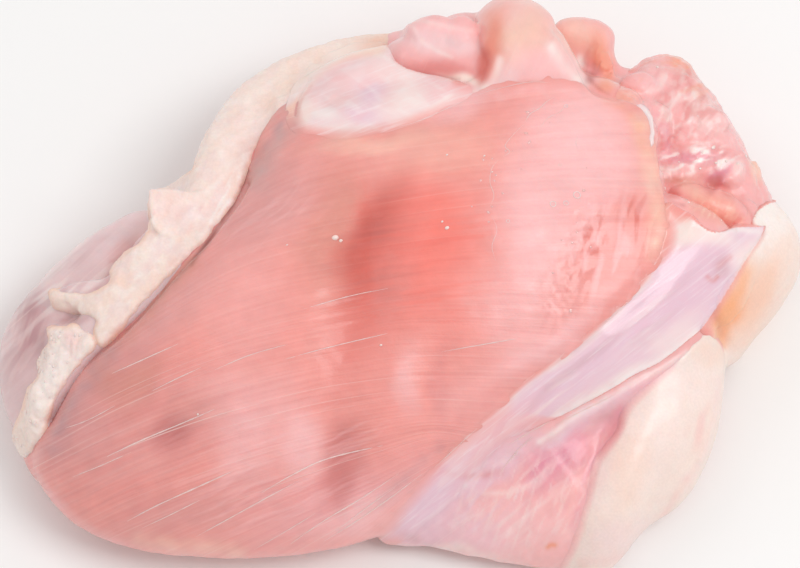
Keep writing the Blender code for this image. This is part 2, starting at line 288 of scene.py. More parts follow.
# Seams between two forms that are evened out first: (half width in mm, path).
EVENED = {
    "hip_fold": (3.2, [(768, 232), (761, 272), (748, 302), (728, 326)]),
    "knob_left": (2.2, [(306, 78), (290, 98), (280, 122), (286, 146)]),
    "finger_root": (2.6, [(466, 98), (486, 88), (510, 81), (540, 79), (566, 81), (588, 88), (604, 94)]),
    "rim_root": (1.8, [(604, 92), (622, 97), (640, 104), (652, 116)]),
    "trough_side": (3.4, [(330, 300), (338, 340), (346, 384)]),
    "middle_ridge": (3.0, [(416, 322), (410, 360), (408, 400)]),
    "pad_notch": (1.8, [(698, 342), (712, 336), (722, 346)]),
}
EVEN_ROUNDS = 80


def even_out(mesh, share, rounds):
    """Moves points toward the middle of their neighbours, as far as their share says."""
    places, quads = get_places(mesh), get_quads(mesh)
    starts, ends = quads.ravel(), np.roll(quads, -1, axis=1).ravel()
    count = np.bincount(starts, minlength=len(places))
    for _ in range(rounds):
        for k in range(3):
            middle = np.bincount(starts, places[ends, k], len(places)) / count
            places[:, k] += share * (middle - places[:, k])
    set_places(mesh, places)


def shape_deep_meat():
    """Gives the deep meat its folds: the pushes first, then the creases and swellings along its normals."""
    mesh = deep_meat.data
    places = get_places(mesh)
    shown = seen_at(places)
    shift = np.zeros_like(places)
    for middle, reach, right, up, toward in PUSHES.values():
        share = np.exp(-(((shown - middle) * PICTURE_MM) ** 2).sum(1) / reach**2)
        shift += share[:, None] * (picture_right * right + picture_up * up + toward_camera * toward)
    set_places(mesh, places + shift)
    facing = ramp(get_normals(mesh) @ toward_camera, -0.2, 0.1)
    for half_width, path in EVENED.values():
        even_out(mesh, 0.9 * facing * np.exp(-((mm_from_path(path, shown) / half_width) ** 2)), EVEN_ROUNDS)
    places = get_places(mesh)
    normals = get_normals(mesh)
    shown = seen_at(places)
    upper = ramp(normals @ toward_camera, -0.45, 0.05)
    height = UNEVEN_HEIGHT * lumps(places, UNEVEN_SIZE, 1) - DEEP_SHRINK
    for depth, half_width, path in CREASES.values():
        height -= depth * np.exp(-((mm_from_path(path, shown) / half_width) ** 2)) * upper
    for rise, half_across, half_down, middle in SWELLS.values():
        off = (shown - middle) * PICTURE_MM / (half_across, half_down)
        height += rise * np.exp(-(off**2).sum(1)) * upper
    off_table = ramp(places[:, 2], 0.2, 1.5)
    set_places(mesh, places + normals * (height * off_table)[:, None])


shape_deep_meat()

# The surface that every layer is laid on.
ground = {
    "places": get_places(deep_meat.data),
    "normals": get_normals(deep_meat.data),
    "quads": get_quads(deep_meat.data),
}

# The tones of the meat, its fat and its membranes.
TONES = {
    "white": "#FBF0EB",
    "milk": "#FAE3DE",
    "cream": "#F5E0D6",
    "veil": "#EFD0D1",
    "blush": "#FBC3C3",
    "pale_pink": "#F4B3B1",
    "salmon": "#F09C94",
    "rose": "#E08C88",
    "deep_rose": "#C97673",
    "dusty": "#DB9B98",
    "tan": "#CF8C7C",
    "red": "#D9695D",
    "orange_red": "#F5796C",
    "orange": "#F29E82",
    "peach": "#F8CDB8",
    "mauve": "#C09194",
    "grey_pink": "#E4C5C5",
    "film_grey": "#C99F9C",
    "lilac": "#EAC4D2",
    "magenta": "#E391A4",
    "brown_red": "#AF4C43",
    "amber": "#F7A976",
    "brown": "#8E4A45",
}


def dab_weight(places, half_across, half_down, turn, middle):
    """How strongly a turned oval dab shows at each place."""
    off = places - middle
    cos, sin = math.cos(math.radians(turn)), math.sin(math.radians(turn))
    across = (off[:, 0] * cos - off[:, 1] * sin) / half_across
    down = (off[:, 0] * sin + off[:, 1] * cos) / half_down
    return np.exp(-np.hypot(across, down) ** 3)


def paint(places, ground_tone, dabs, strokes, streaks=None, unit=1.0):
    """Linear colour at each place: a ground tone with soft dabs, then strokes and then streaks laid over it.

    A dab is (tone, strength, half length across and down, turn in degrees, middle), a stroke is (tone,
    strength, half width, path), and an area of streaks is (tone, strength, spacing, length, their turn) and
    then a dab's last four values. Places are in units of which one is `unit` picture pixels.
    """
    colour = np.tile(linear(TONES[ground_tone]), (len(places), 1))
    wide, fine = 42.0 / unit, 15.0 / unit
    wander = np.stack([lumps(places, wide, 11), lumps(places, wide, 12)], axis=1) * 8.0 / unit
    wander += np.stack([lumps(places, fine, 13), lumps(places, fine, 14)], axis=1) * 3.0 / unit
    worn = 0.7 + 0.3 * lumps(places, 9.0 / unit, 15)
    for tone, strength, half_across, half_down, turn, middle in dabs.values():
        weight = strength * dab_weight(places + wander, half_across, half_down, turn, middle)
        colour += (np.array(linear(TONES[tone])) - colour) * weight[:, None]
    for tone, strength, half_width, path in strokes.values():
        off = away_from(smooth_path(path, 5 * len(path)), places + wander * 0.3) / half_width
        weight = strength * worn * np.exp(-(off**2))
        colour += (np.array(linear(TONES[tone])) - colour) * weight[:, None]
    for number, row in enumerate((streaks or {}).values()):
        tone, strength, spacing, length, lean, half_across, half_down, turn, middle = row
        cos, sin = math.cos(math.radians(lean)), math.sin(math.radians(lean))
        bent = places + wander * 0.4
        across = (bent[:, 0] * sin + bent[:, 1] * cos) / spacing
        along = (bent[:, 0] * cos - bent[:, 1] * sin) / length
        grain = lumps(np.stack([across, along], 1), 1.0, 101 + number)
        grain += 0.5 * lumps(np.stack([across * 2.1, along * 1.6], 1), 1.0, 131 + number)
        weight = strength * ramp(grain, 0.0, 0.75) * dab_weight(bent, half_across, half_down, turn, middle)
        colour += (np.array(linear(TONES[tone])) - colour) * weight[:, None]
    return colour


def keep_on_points(mesh, name, values):
    """Stores a number, or three, at every point of a mesh, for its material to read."""
    one = values.ndim == 1
    stored = mesh.attributes.new(name, "FLOAT" if one else "FLOAT_VECTOR", "POINT")
    stored.data.foreach_set("value" if one else "vector", values.astype(np.float32).ravel())


def add_node(tree, kind, inputs=None, **settings):
    """Adds a node with its settings, and fills or links its inputs by name or number.

    A node given as an input stands for its own first output.
    """
    node = tree.nodes.new(kind)
    for key, value in settings.items():
        setattr(node, key, value)
    for key, value in (inputs or {}).items():
        if isinstance(value, bpy.types.Node):
            value = value.outputs[0]
        if isinstance(value, bpy.types.NodeSocket):
            tree.links.new(value, node.inputs[key])
        else:
            node.inputs[key].default_value = value
    return node


def new_material(name):
    """A new material, with its node tree and its shader."""
    material = bpy.data.materials.new(name)
    material.use_nodes = True
    return material, material.node_tree, material.node_tree.nodes["Principled BSDF"]


def set_sockets(node, values):
    """Gives a node's inputs their values by name."""
    for name, value in values.items():
        node.inputs[name].default_value = value


# A streak darkens green and blue more than red, so that it turns redder, not greyer.
STREAK_SHADE = (0.55, 1.45, 1.35)


def raw_meat(name, fibre_mm, streak, roughness, wetness, relief_mm):
    """Raw leg meat under its clear membrane.

    Fibre bundles show as faint streaks, and the membrane between them as thin pale lines, as clearly as the
    mesh's own "lines" values say. Light goes a little way in, so edges and thin places glow, and the juice
    on top gives a soft wet gloss.
    """
    material, tree, shader = new_material(name)
    tone = add_node(tree, "ShaderNodeAttribute", attribute_name="tone").outputs["Vector"]
    fibres = add_node(tree, "ShaderNodeAttribute", attribute_name="fibres").outputs["Vector"]
    lines = add_node(tree, "ShaderNodeAttribute", attribute_name="lines").outputs["Fac"]
    here = add_node(tree, "ShaderNodeTexCoord").outputs["Object"]

    # Bundles lie fibre_mm apart and run on for about 14 mm.
    stretched = add_node(tree, "ShaderNodeVectorMath", {0: fibres, 1: (0.7 / fibre_mm, 0.07, 0.3)},
                         operation="MULTIPLY")
    bundles = add_node(tree, "ShaderNodeTexNoise", {"Vector": stretched, "Scale": 1.0, "Detail": 2.0})
    bundle = add_node(tree, "ShaderNodeMapRange", {"Value": bundles, 1: 0.3, 2: 0.7, 3: -1.0, 4: 1.0})
    plain = add_node(tree, "ShaderNodeMapRange", {"Value": lines, 3: 0.35 * streak, 4: streak})

    # The pale lines lie 2 to 3 mm apart, a tenth of a millimetre wide, and each runs on for 20 to 40 mm.
    cells = add_node(tree, "ShaderNodeVectorMath", {0: fibres, 1: (0.45, 0.035, 0.0)}, operation="MULTIPLY")
    nearest = add_node(tree, "ShaderNodeTexVoronoi", {"Vector": cells, "Scale": 1.0}, voronoi_dimensions="2D")
    off = add_node(tree, "ShaderNodeVectorMath", {0: cells, 1: nearest.outputs["Position"]},
                   operation="SUBTRACT")
    apart = add_node(tree, "ShaderNodeVectorMath", {0: off}, operation="ABSOLUTE")
    sides = add_node(tree, "ShaderNodeSeparateXYZ", {0: apart})
    thin = add_node(tree, "ShaderNodeMapRange", {"Value": sides, 1: 0.012, 2: 0.06, 3: 1.0, 4: 0.0},
                    interpolation_type="SMOOTHSTEP")
    ends = add_node(tree, "ShaderNodeMapRange", {"Value": sides.outputs[1], 1: 0.15, 2: 0.5, 3: 1.0, 4: 0.0})
    chosen = add_node(tree, "ShaderNodeSeparateColor", {0: nearest.outputs["Color"]})
    some = add_node(tree, "ShaderNodeMapRange", {"Value": chosen, 1: 0.3, 2: 1.0, 3: 0.0, 4: 0.75})
    line = add_node(tree, "ShaderNodeMath", {0: thin, 1: ends}, operation="MULTIPLY")
    line = add_node(tree, "ShaderNodeMath", {0: line, 1: some}, operation="MULTIPLY")
    line = add_node(tree, "ShaderNodeMath", {0: line, 1: lines}, operation="MULTIPLY")

    # Blotches about 3 mm across, where blood and juice lie under the membrane.
    blotches = add_node(tree, "ShaderNodeTexNoise", {"Vector": here, "Scale": 330.0, "Detail": 4.0})
    blotch = add_node(tree, "ShaderNodeMapRange", {"Value": blotches, 1: 0.3, 2: 0.7, 3: 0.965, 4: 1.035})
    depth = add_node(tree, "ShaderNodeMath", {0: bundle, 1: plain}, operation="MULTIPLY")
    shade = add_node(tree, "ShaderNodeVectorMath", {0: depth, 1: STREAK_SHADE, 2: blotch},
                     operation="MULTIPLY_ADD")
    streaked = add_node(tree, "ShaderNodeVectorMath", {0: tone, 1: shade}, operation="MULTIPLY")
    lined = add_node(tree, "ShaderNodeMix", {0: line, 6: streaked, 7: (*linear("#FBE0D8"), 1.0)},
                     data_type="RGBA")
    tree.links.new(lined.outputs[2], shader.inputs["Base Color"])

    grain = add_node(tree, "ShaderNodeTexNoise", {"Vector": here, "Scale": 1900.0, "Detail": 2.0})
    height = add_node(tree, "ShaderNodeMath", {0: bundle, 1: 0.25, 2: line}, operation="MULTIPLY_ADD")
    height = add_node(tree, "ShaderNodeMath", {0: grain, 1: 0.6, 2: height}, operation="MULTIPLY_ADD")
    bump = add_node(tree, "ShaderNodeBump", {"Height": height, "Strength": 0.6, "Distance": relief_mm * MM})
    tree.links.new(bump.outputs[0], shader.inputs["Normal"])
    set_sockets(shader, {
        "Roughness": roughness,
        "IOR": 1.38,
        "Subsurface Weight": 0.22,
        "Subsurface Radius": (1.0, 0.35, 0.25),
        "Subsurface Scale": 0.0012,
        "Coat Weight": wetness,
        "Coat Roughness": 0.18,
        "Coat IOR": 1.36,
    })
    return material


# Tones of the underside, as seen through the table: (tone, strength, half lengths, turn, middle) in mm.
UNDER_DABS = {
    "outer_belly": ("pale_pink", 0.7, 20, 12, 10, (-36, -24)),
    "outer_shade": ("rose", 0.6, 14, 8, 20, (-18, -26)),
    "bone_bed": ("red", 0.55, 16, 7, 0, (-28, -8)),
    "bone_bed_right": ("rose", 0.6, 10, 14, 30, (2, 8)),
    "back_left": ("dusty", 0.7, 22, 12, 20, (-34, 8)),
    "back_middle": ("salmon", 0.6, 16, 14, 0, (-6, 24)),
    "inner": ("magenta", 0.35, 18, 14, 0, (20, -28)),
    "inner_pale": ("blush", 0.7, 14, 10, 20, (34, -22)),
    "hip": ("salmon", 0.6, 12, 12, 0, (40, 8)),
    "hip_back": ("orange", 0.35, 10, 8, 0, (44, 22)),
}
UNDER_STROKES = {
    "bone_film": ("milk", 0.55, 1.3, [(-46, -13), (-30, -17), (-12, -16), (4, -7), (13, 8), (17, 24)]),
    "inner_film": ("milk", 0.5, 1.0, [(-12, -16), (-3, -27), (3, -40)]),
    "hip_film": ("cream", 0.5, 1.1, [(4, -8), (20, -9), (34, -8), (52, -9)]),
    "cut_film": ("cream", 0.45, 1.0, [(20, -9), (28, 6), (32, 22)]),
    "bone_line": ("deep_rose", 0.5, 0.6, [(-40, -9), (-20, -10), (-4, -4), (6, 8), (10, 22)]),
}


def dress_deep_meat():
    """Stores the deep meat's colour and fibre directions on its points."""
    mesh = deep_meat.data
    places, normals = get_places(mesh), get_normals(mesh)
    shown = seen_at(places)
    above = paint(shown, "rose", {}, {})
    below = paint(places[:, :2], "salmon", UNDER_DABS, UNDER_STROKES, unit=6.7)
    share = ramp(normals @ toward_camera, -0.35, 0.1)[:, None]
    keep_on_points(mesh, "tone", above * share + below * (1 - share))
    fibres = np.stack([places[:, 1] * 0.9 - places[:, 0] * 0.3, places[:, 0], places[:, 2]], 1)
    keep_on_points(mesh, "fibres", fibres)
    keep_on_points(mesh, "lines", np.full(len(places), 0.4))


dress_deep_meat()
deep_meat.data.materials.append(
    raw_meat("raw_deep_meat", fibre_mm=0.7, streak=0.07, roughness=0.45, wetness=0.5, relief_mm=0.10)
)
deep_meat.data.shade_smooth()
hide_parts("chicken_thigh")
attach(deep_meat, "root")

# --- Outer muscle ---
# The big muscle of the thigh's outer side: long fibre bundles under a clear membrane, thick in the middle
# and rolled under at the front. Its hip end stands proud of the cut face in a thin torn rim.

OUTER_OUTLINE = [
    (34, 440), (47, 430), (60, 408), (76, 380), (97, 353), (125, 332), (158, 294), (180, 267), (202, 244),
    (217, 225), (232, 204), (244, 184), (252, 160), (260, 138), (272, 116), (290, 98), (318, 98),
    (348, 106), (380, 110), (410, 108), (440, 100), (470, 88), (492, 66), (516, 52), (545, 54), (570, 68),
    (590, 84), (610, 94), (632, 104), (645, 114), (651, 128), (655, 150), (659, 175), (664, 198),
    (668, 210), (680, 224), (688, 242), (684, 266), (668, 294), (648, 320), (624, 343), (592, 370),
    (548, 399), (518, 423), (489, 449), (461, 473), (436, 499), (410, 526), (390, 542), (372, 556),
    (352, 570), (330, 592), (240, 612), (110, 602), (-10, 532), (-20, 460), (10, 446),
]

# Lines that its fibres follow, from the back of the piece to the front.
FIBRE_LINES = [
    [(120, 290), (215, 222), (280, 182), (350, 160), (430, 146), (520, 134), (600, 128), (720, 124)],
    [(90, 340), (170, 290), (230, 250), (310, 222), (400, 203), (490, 190), (580, 185), (720, 190)],
    [(60, 385), (120, 350), (190, 308), (270, 278), (350, 262), (430, 250), (520, 243), (720, 236)],
    [(30, 430), (85, 398), (150, 366), (230, 333), (310, 312), (390, 298), (470, 291), (720, 300)],
    [(0, 470), (55, 440), (120, 405), (200, 372), (280, 350), (350, 336), (434, 324), (720, 340)],
    [(0, 508), (50, 480), (120, 448), (200, 418), (280, 396), (350, 382), (434, 374), (540, 376)],
    [(20, 545), (75, 518), (140, 488), (220, 458), (290, 438), (350, 424), (420, 414), (500, 418)],
    [(60, 570), (118, 540), (190, 510), (260, 484), (330, 460), (380, 446), (431, 434), (480, 440)],
    [(120, 585), (180, 556), (250, 525), (310, 500), (370, 476), (420, 454), (460, 444), (480, 448)],
    [(190, 600), (250, 566), (310, 535), (370, 505), (410, 480), (450, 456), (465, 450), (480, 452)],
    [(290, 600), (335, 562), (370, 535), (400, 508), (430, 480), (452, 460), (466, 453), (480, 455)],
]
FIBRE_LINE_SPACING = 7.0
SIDE_FADE = 5.0  # mm nearer the edge, for each unit that the surface turns away
LAYER_SINK = 1.2  # how deep a layer's floor lies in the meat
LAYER_REACH = 1.0  # how far a layer goes on past its edge, hidden
HIP_RIM = [(634, 106), (641, 112), (648, 126), (652, 150), (656, 176), (661, 200)]
WET_EDGE = [(548, 104), (536, 112), (526, 132), (508, 144), (496, 160), (490, 186), (494, 210), (492, 236)]
WRINKLES = [(586, 204), (580, 230), (574, 256), (562, 280), (556, 306)]


def across_fibres(shown):
    """How far across the outer muscle's fibres each place lies, in mm, counted from the first fibre line."""
    downs = []
    for line in FIBRE_LINES:
        fine = smooth_path(line, 80)
        downs.append(np.interp(shown[:, 0], fine[:, 0], fine[:, 1]))
    across = (shown[:, 1] - downs[0]) / (downs[1] - downs[0])
    for k in range(1, len(downs) - 1):
        gap = np.maximum(downs[k + 1] - downs[k], 4.0)
        across = np.where(shown[:, 1] > downs[k], k + (shown[:, 1] - downs[k]) / gap, across)
    return across * FIBRE_LINE_SPACING


def split_quads(places, normals, quads):
    """Splits each quad in four, and says which new point lies halfway along which edge."""
    ends = np.stack([quads, np.roll(quads, -1, axis=1)], axis=2)
    edges, which = np.unique(np.sort(ends.reshape(-1, 2), axis=1), axis=0, return_inverse=True)
    which = which.reshape(-1, 4)
    hub = len(places) + len(edges) + np.arange(len(quads))
    half = len(places) + which
    split = [np.stack([quads[:, k], half[:, k], hub, half[:, k - 1]], axis=1) for k in range(4)]
    new_places = np.vstack([places, places[edges].mean(1), places[quads].mean(1)])
    new_normals = np.vstack([normals, normals[edges].mean(1), normals[quads].mean(1)])
    new_normals /= np.linalg.norm(new_normals, axis=1)[:, None]
    return new_places, new_normals, np.concatenate(split), half


def whole_patches(quads, count):
    """Leaves out quads that hang together in small stray patches only."""
    label = np.arange(count)
    spread = None
    while spread is None or (spread != label).any():
        label = label if spread is None else spread
        spread = label.copy()
        np.minimum.at(spread, quads.ravel(), np.repeat(label[quads].min(1), 4))
        spread = spread[spread]
    patch = label[quads[:, 0]]
    return quads[np.bincount(patch)[patch] > 0.1 * len(quads)]


def lay_over(name, inside, rise):
    """Makes a closed layer over part of the deep meat.

    `inside` gives each place's distance within the layer's edge, and `rise` how high the layer's face stands
    there. Past the edge, the face dives into the meat, and a hidden floor closes the layer from below.
    """
    within = inside(ground["places"], ground["normals"])
    quads = ground["quads"][(within[ground["quads"]] > -LAYER_REACH).all(axis=1)]
    used, quads = np.unique(quads, return_inverse=True)
    quads = whole_patches(quads.reshape(-1, 4), len(used))
    used, quads = used[np.unique(quads)], np.unique(quads, return_inverse=True)[1].reshape(-1, 4)
    places, normals = ground["places"][used], ground["normals"][used]
    fine_places, fine_normals, fine_quads, halves = split_quads(places, normals, quads)
    within = inside(fine_places, fine_normals)
    face = fine_places + fine_normals * rise(within, fine_places)[:, None]
    floor = places - normals * LAYER_SINK
    floor_start = len(face)
    starts, ends = quads.ravel().tolist(), np.roll(quads, -1, axis=1).ravel().tolist()
    pairs = set(zip(starts, ends))
    rim = []
    for a, b, half in zip(starts, ends, halves.ravel().tolist()):
        if (b, a) not in pairs:
            rim.append([b, half, a, floor_start + a, floor_start + b])
    faces = fine_quads.tolist() + (quads[:, ::-1] + floor_start).tolist() + rim
    mesh = bpy.data.meshes.new(name)
    mesh.from_pydata((np.vstack([face, floor]) * MM).tolist(), [], faces)
    piece = new_piece(name, mesh)
    set_places(mesh, get_places(mesh))
    mesh.shade_smooth()
    return piece


def dome(within, height, edge):
    """A face that rises from its edge to its full height in a quarter round, and dives outside the edge."""
    t = np.clip(within / edge, 0.0, 1.0)
    return np.where(within > 0, height * np.sqrt(1 - (1 - t) ** 2), 1.3 * within)


def beside(path, half_width, shown):
    """1 on a path in the picture, and less beside it, with a half width in mm."""
    return np.exp(-((mm_from_path(path, shown) / half_width) ** 2))


def on_meat(piece):
    """Says that a piece rides on the body."""
    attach(piece, "root")


def within_edge(outline, round_side, ragged=0.0, size=1.0, seed=0):
    """Makes the function that says how far inside a layer's edge each place lies, in mm.

    The layer ends at the outline, ragged by so many mm in steps of the given size, and it reaches down round
    the side of the meat until the surface faces away from the camera by more than round_side.
    """

    def inside(places, normals):
        within = mm_inside(outline, seen_at(places)) + ragged * lumps(places, size, seed)
        return np.minimum(within, SIDE_FADE * (normals @ toward_camera + round_side))

    return inside


def rise_outer(within, places):
    shown = seen_at(places)
    across, along = across_fibres(shown), shown[:, 0] * PICTURE_MM
    bundles = 0.035 * lumps(np.stack([across, along * 0.06], 1), 0.8, 22)
    bundles += 0.06 * lumps(np.stack([across, along * 0.12], 1), 3.0, 23)
    dents = 0.04 * lumps(places, 1.6, 24)
    film = 0.09 * beside(WET_EDGE, 1.3, shown) * lumps(places, 0.7, 25)
    film += 0.10 * beside(WRINKLES, 1.6, shown) * lumps(places, 0.6, 26)
    rim = 0.35 * beside(HIP_RIM, 0.7, shown)
    face = dome(within, 0.5, 1.8) + (bundles + dents + film) * ramp(within, 0.0, 1.5)
    return face + rim * ramp(within, 0, 0.4)


OUTER_DABS = {
    "top_left": ("dusty", 0.8, 66, 44, 40, (262, 208)),
    "seam_side": ("dusty", 0.75, 100, 26, 46, (156, 322)),
    # Painted light: the paler pink over the left bulge, where it faces the light (this dab and the next).
    "left_bulge": ("pale_pink", 0.35, 40, 60, -20, (246, 316)),
    "bulge_low_painted_light": ("pale_pink", 0.75, 56, 36, 0, (246, 404)),
    "left_shade": ("deep_rose", 0.3, 56, 44, 40, (128, 376)),
    # Painted shade beside the fat seam's lumps.
    "lump_side_shade": ("tan", 0.5, 18, 22, 30, (100, 378)),
    "left_low": ("dusty", 0.45, 80, 50, 20, (130, 440)),
    "left_tip": ("dusty", 0.75, 36, 40, 0, (76, 430)),
    "tan_patch": ("tan", 0.5, 32, 18, 30, (140, 384)),
    # Painted shade in the dimple at the lower left (this dab and the next).
    "dimple_shade_warm": ("tan", 0.12, 60, 14, 25, (180, 414)),
    "left_dimple": ("deep_rose", 0.85, 22, 20, 10, (170, 434)),
    "front_left": ("dusty", 0.5, 90, 26, 15, (190, 510)),
    "front_lilac": ("lilac", 0.25, 110, 40, 20, (350, 500)),
    "belly": ("blush", 0.75, 26, 32, 0, (304, 446)),
    "belly_left": ("blush", 0.55, 34, 40, 0, (246, 452)),
    # Painted shade on the trough's left wall, over the meat's own deeper red.
    "trough_shade_warm": ("tan", 0.6, 34, 66, -12, (340, 230)),
    # Painted shade in the dent at the foot of the trough.
    "trough_foot": ("deep_rose", 0.85, 20, 44, -8, (344, 462)),
    "orange_zone": ("orange_red", 0.75, 50, 58, 20, (426, 236)),
    "orange_low": ("orange_red", 0.3, 56, 36, 0, (430, 312)),
    # Painted shade down the trough (this dab and the three below), over the meat's own deeper red.
    "trough": ("red", 0.9, 26, 62, -22, (378, 238)),
    "trough_shade_dark": ("brown_red", 0.45, 17, 58, -24, (368, 250)),
    "trough_shade_low": ("red", 0.5, 26, 62, -4, (350, 324)),
    "trough_side": ("red", 0.3, 30, 60, 0, (374, 306)),
    "upper_middle": ("peach", 0.25, 60, 30, 10, (440, 150)),
    "upper_pale": ("peach", 0.4, 60, 10, 8, (370, 144)),
    "middle": ("salmon", 0.5, 70, 40, 0, (430, 366)),
    # Painted light on the low ridge in the middle, and painted shade in the dip beside it.
    "middle_pale": ("pale_pink", 0.8, 14, 34, 0, (408, 382)),
    "middle_dip_shade": ("rose", 0.65, 12, 40, 0, (442, 392)),
    # Painted sheen: the pale pink over the wet right side, where the soft light glances off it.
    "right_middle_sheen": ("blush", 0.85, 42, 96, 0, (536, 226)),
    "right_low_sheen": ("pale_pink", 0.7, 34, 46, 0, (508, 316)),
    "upper_right_sheen": ("blush", 0.9, 60, 44, -20, (586, 134)),
    "upper_right_low_sheen": ("blush", 0.7, 44, 34, 0, (594, 180)),
    "knob_side": ("blush", 0.65, 40, 12, 24, (462, 100)),
    # Painted sheen on the right side.
    "right_side_sheen": ("pale_pink", 0.5, 36, 60, 10, (600, 250)),
    "right_warm": ("salmon", 0.5, 46, 24, 20, (598, 262)),
    "lower_right": ("blush", 0.6, 50, 22, 38, (536, 352)),
    "strap_pale": ("blush", 0.6, 60, 12, 40, (560, 334)),
    "seam_pink": ("pale_pink", 0.5, 50, 30, 35, (472, 406)),
    "lower_middle": ("salmon", 0.4, 70, 34, 15, (410, 446)),
    "front_right": ("blush", 0.6, 54, 20, 25, (366, 520)),
}
OUTER_STROKES = {
    "grey_film": ("film_grey", 0.95, 15.0, [(294, 110), (280, 132), (268, 154), (256, 176)]),
    "grey_streak": ("mauve", 0.5, 3.0, [(282, 118), (268, 142), (256, 164)]),
    # Painted shadow: dark strokes along the crease where the outer muscle meets the fat seam, and the shade
    # that spreads from it.
    "seam_shadow_upper": ("brown", 1.0, 2.4, [(249, 172), (242, 189), (234, 206), (221, 224), (207, 242),
                                       (191, 263)]),
    "seam_shadow_second": ("brown", 0.75, 2.2, [(189, 264), (170, 286), (152, 306), (128, 328)]),
    "seam_shade_middle": ("tan", 0.6, 9.0, [(190, 264), (166, 292), (136, 328), (108, 354)]),
    "seam_shade_low": ("mauve", 0.75, 12.0, [(110, 350), (92, 372), (74, 398), (60, 424), (54, 446)]),
    "front_rim": ("pale_pink", 0.7, 6.0, [(36, 480), (62, 511), (100, 536), (160, 551), (250, 558),
                                          (340, 554)]),
    "left_rim": ("pale_pink", 0.5, 7.0, [(30, 446), (36, 474), (60, 508)]),
    "front_tip": ("peach", 0.5, 8.0, [(140, 540), (180, 548), (240, 552)]),
    "hip_rim": ("peach", 0.85, 9.0, [(640, 122), (646, 150), (652, 186), (658, 220), (652, 250)]),
    "orange_rim": ("orange", 0.4, 7.0, [(606, 100), (626, 108), (638, 124), (644, 150)]),
    "top_rim": ("blush", 0.5, 5.0, [(500, 96), (530, 88), (562, 89), (590, 98)]),
    # Painted shade on the outer muscle along the strap's raised edge.
    "strap_side_shade": ("rose", 0.35, 8.0, [(634, 284), (600, 316), (550, 354), (504, 388), (470, 416),
                                       (442, 442)]),
    "low_seam": ("mauve", 0.35, 6.0, [(440, 446), (410, 476), (384, 504)]),
}
OUTER_STREAKS = {
    "right_red": ("red", 0.8, 4, 13, 72, 16, 46, -14, (588, 252)),
    "right_red_low": ("rose", 0.5, 5, 16, 62, 14, 30, -30, (562, 300)),
    "right_red_outer": ("red", 0.65, 4.5, 24, 74, 18, 34, -12, (634, 230)),
    "right_pale": ("blush", 0.5, 7, 22, 76, 40, 70, -10, (610, 250)),
    "orange_fibres": ("orange_red", 0.35, 5, 110, 8, 70, 70, 0, (430, 250)),
    "dark_fibres": ("deep_rose", 0.2, 4, 80, 12, 60, 60, 0, (370, 270)),
    "left_fibres": ("dusty", 0.35, 4, 70, 27, 110, 60, 20, (140, 450)),
    "belly_fibres": ("blush", 0.35, 4, 70, 24, 100, 60, 20, (280, 470)),
    "top_left_fibres": ("blush", 0.2, 4, 40, 45, 50, 40, 0, (270, 220)),
}


def tone_of_outer(shown):
    return paint(shown, "salmon", OUTER_DABS, OUTER_STROKES, OUTER_STREAKS)


def share_of_lines(shown):
    """How clearly the membrane's pale lines show: best at the front left and along the lower seam."""
    share = 0.12 + 0.6 * dab_weight(shown, 150, 80, 25, (150, 450))
    share += 0.55 * dab_weight(shown, 130, 50, 25, (330, 480))
    return np.clip(share + 0.2 * dab_weight(shown, 120, 40, 10, (420, 380)), 0.0, 0.75)


outer_muscle = lay_over("outer_muscle", within_edge(OUTER_OUTLINE, 0.35, 0.12, 2.0, 21), rise_outer)
shown = seen_at(get_places(outer_muscle.data))
keep_on_points(outer_muscle.data, "tone", tone_of_outer(shown))
keep_on_points(outer_muscle.data, "lines", share_of_lines(shown))
fibres = np.stack([across_fibres(shown), shown[:, 0] * PICTURE_MM, shown[:, 0] * 0], 1)
keep_on_points(outer_muscle.data, "fibres", fibres)
outer_muscle.data.materials.append(
    raw_meat("raw_outer_muscle", fibre_mm=0.42, streak=0.085, roughness=0.40, wetness=0.55, relief_mm=0.10)
)
on_meat(outer_muscle)

# --- Back muscle ---
# The smaller muscle behind the fat seam, at the left. Its membrane is thicker, so it looks greyer and has
# faint white lines of its own.

BACK_OUTLINE = [
    (160, 200), (118, 218), (70, 245), (25, 282), (-14, 330), (-14, 440), (18, 462), (34, 450), (52, 420),
    (72, 386), (100, 352), (132, 322), (166, 288), (182, 262), (176, 225),
]


def turned(shown, degrees):
    """Distances across and along a direction in the picture, in mm."""
    cos, sin = math.cos(math.radians(degrees)), math.sin(math.radians(degrees))
    across = (shown[:, 0] * sin + shown[:, 1] * cos) * PICTURE_MM
    along = (shown[:, 0] * cos - shown[:, 1] * sin) * PICTURE_MM
    return across, along


def finish_layer(piece, tone, material, fibres=None, lines=0.0):
    """Gives a layer its tone, its fibres' direction in degrees if they show, and its material."""
    shown = seen_at(get_places(piece.data))
    keep_on_points(piece.data, "tone", tone(shown))
    if fibres is not None:
        keep_on_points(piece.data, "fibres", np.stack([*turned(shown, fibres), shown[:, 0] * 0], 1))
        keep_on_points(piece.data, "lines", np.full(len(shown), lines))
    piece.data.materials.append(material)
    on_meat(piece)


def rise_back(within, places):
    across, along = turned(seen_at(places), 42)
    bundles = 0.08 * lumps(np.stack([across, along * 0.1], 1), 1.5, 31)
    return dome(within, 0.4, 2.0) + (bundles + 0.06 * lumps(places, 1.8, 32)) * ramp(within, 0, 1.5)


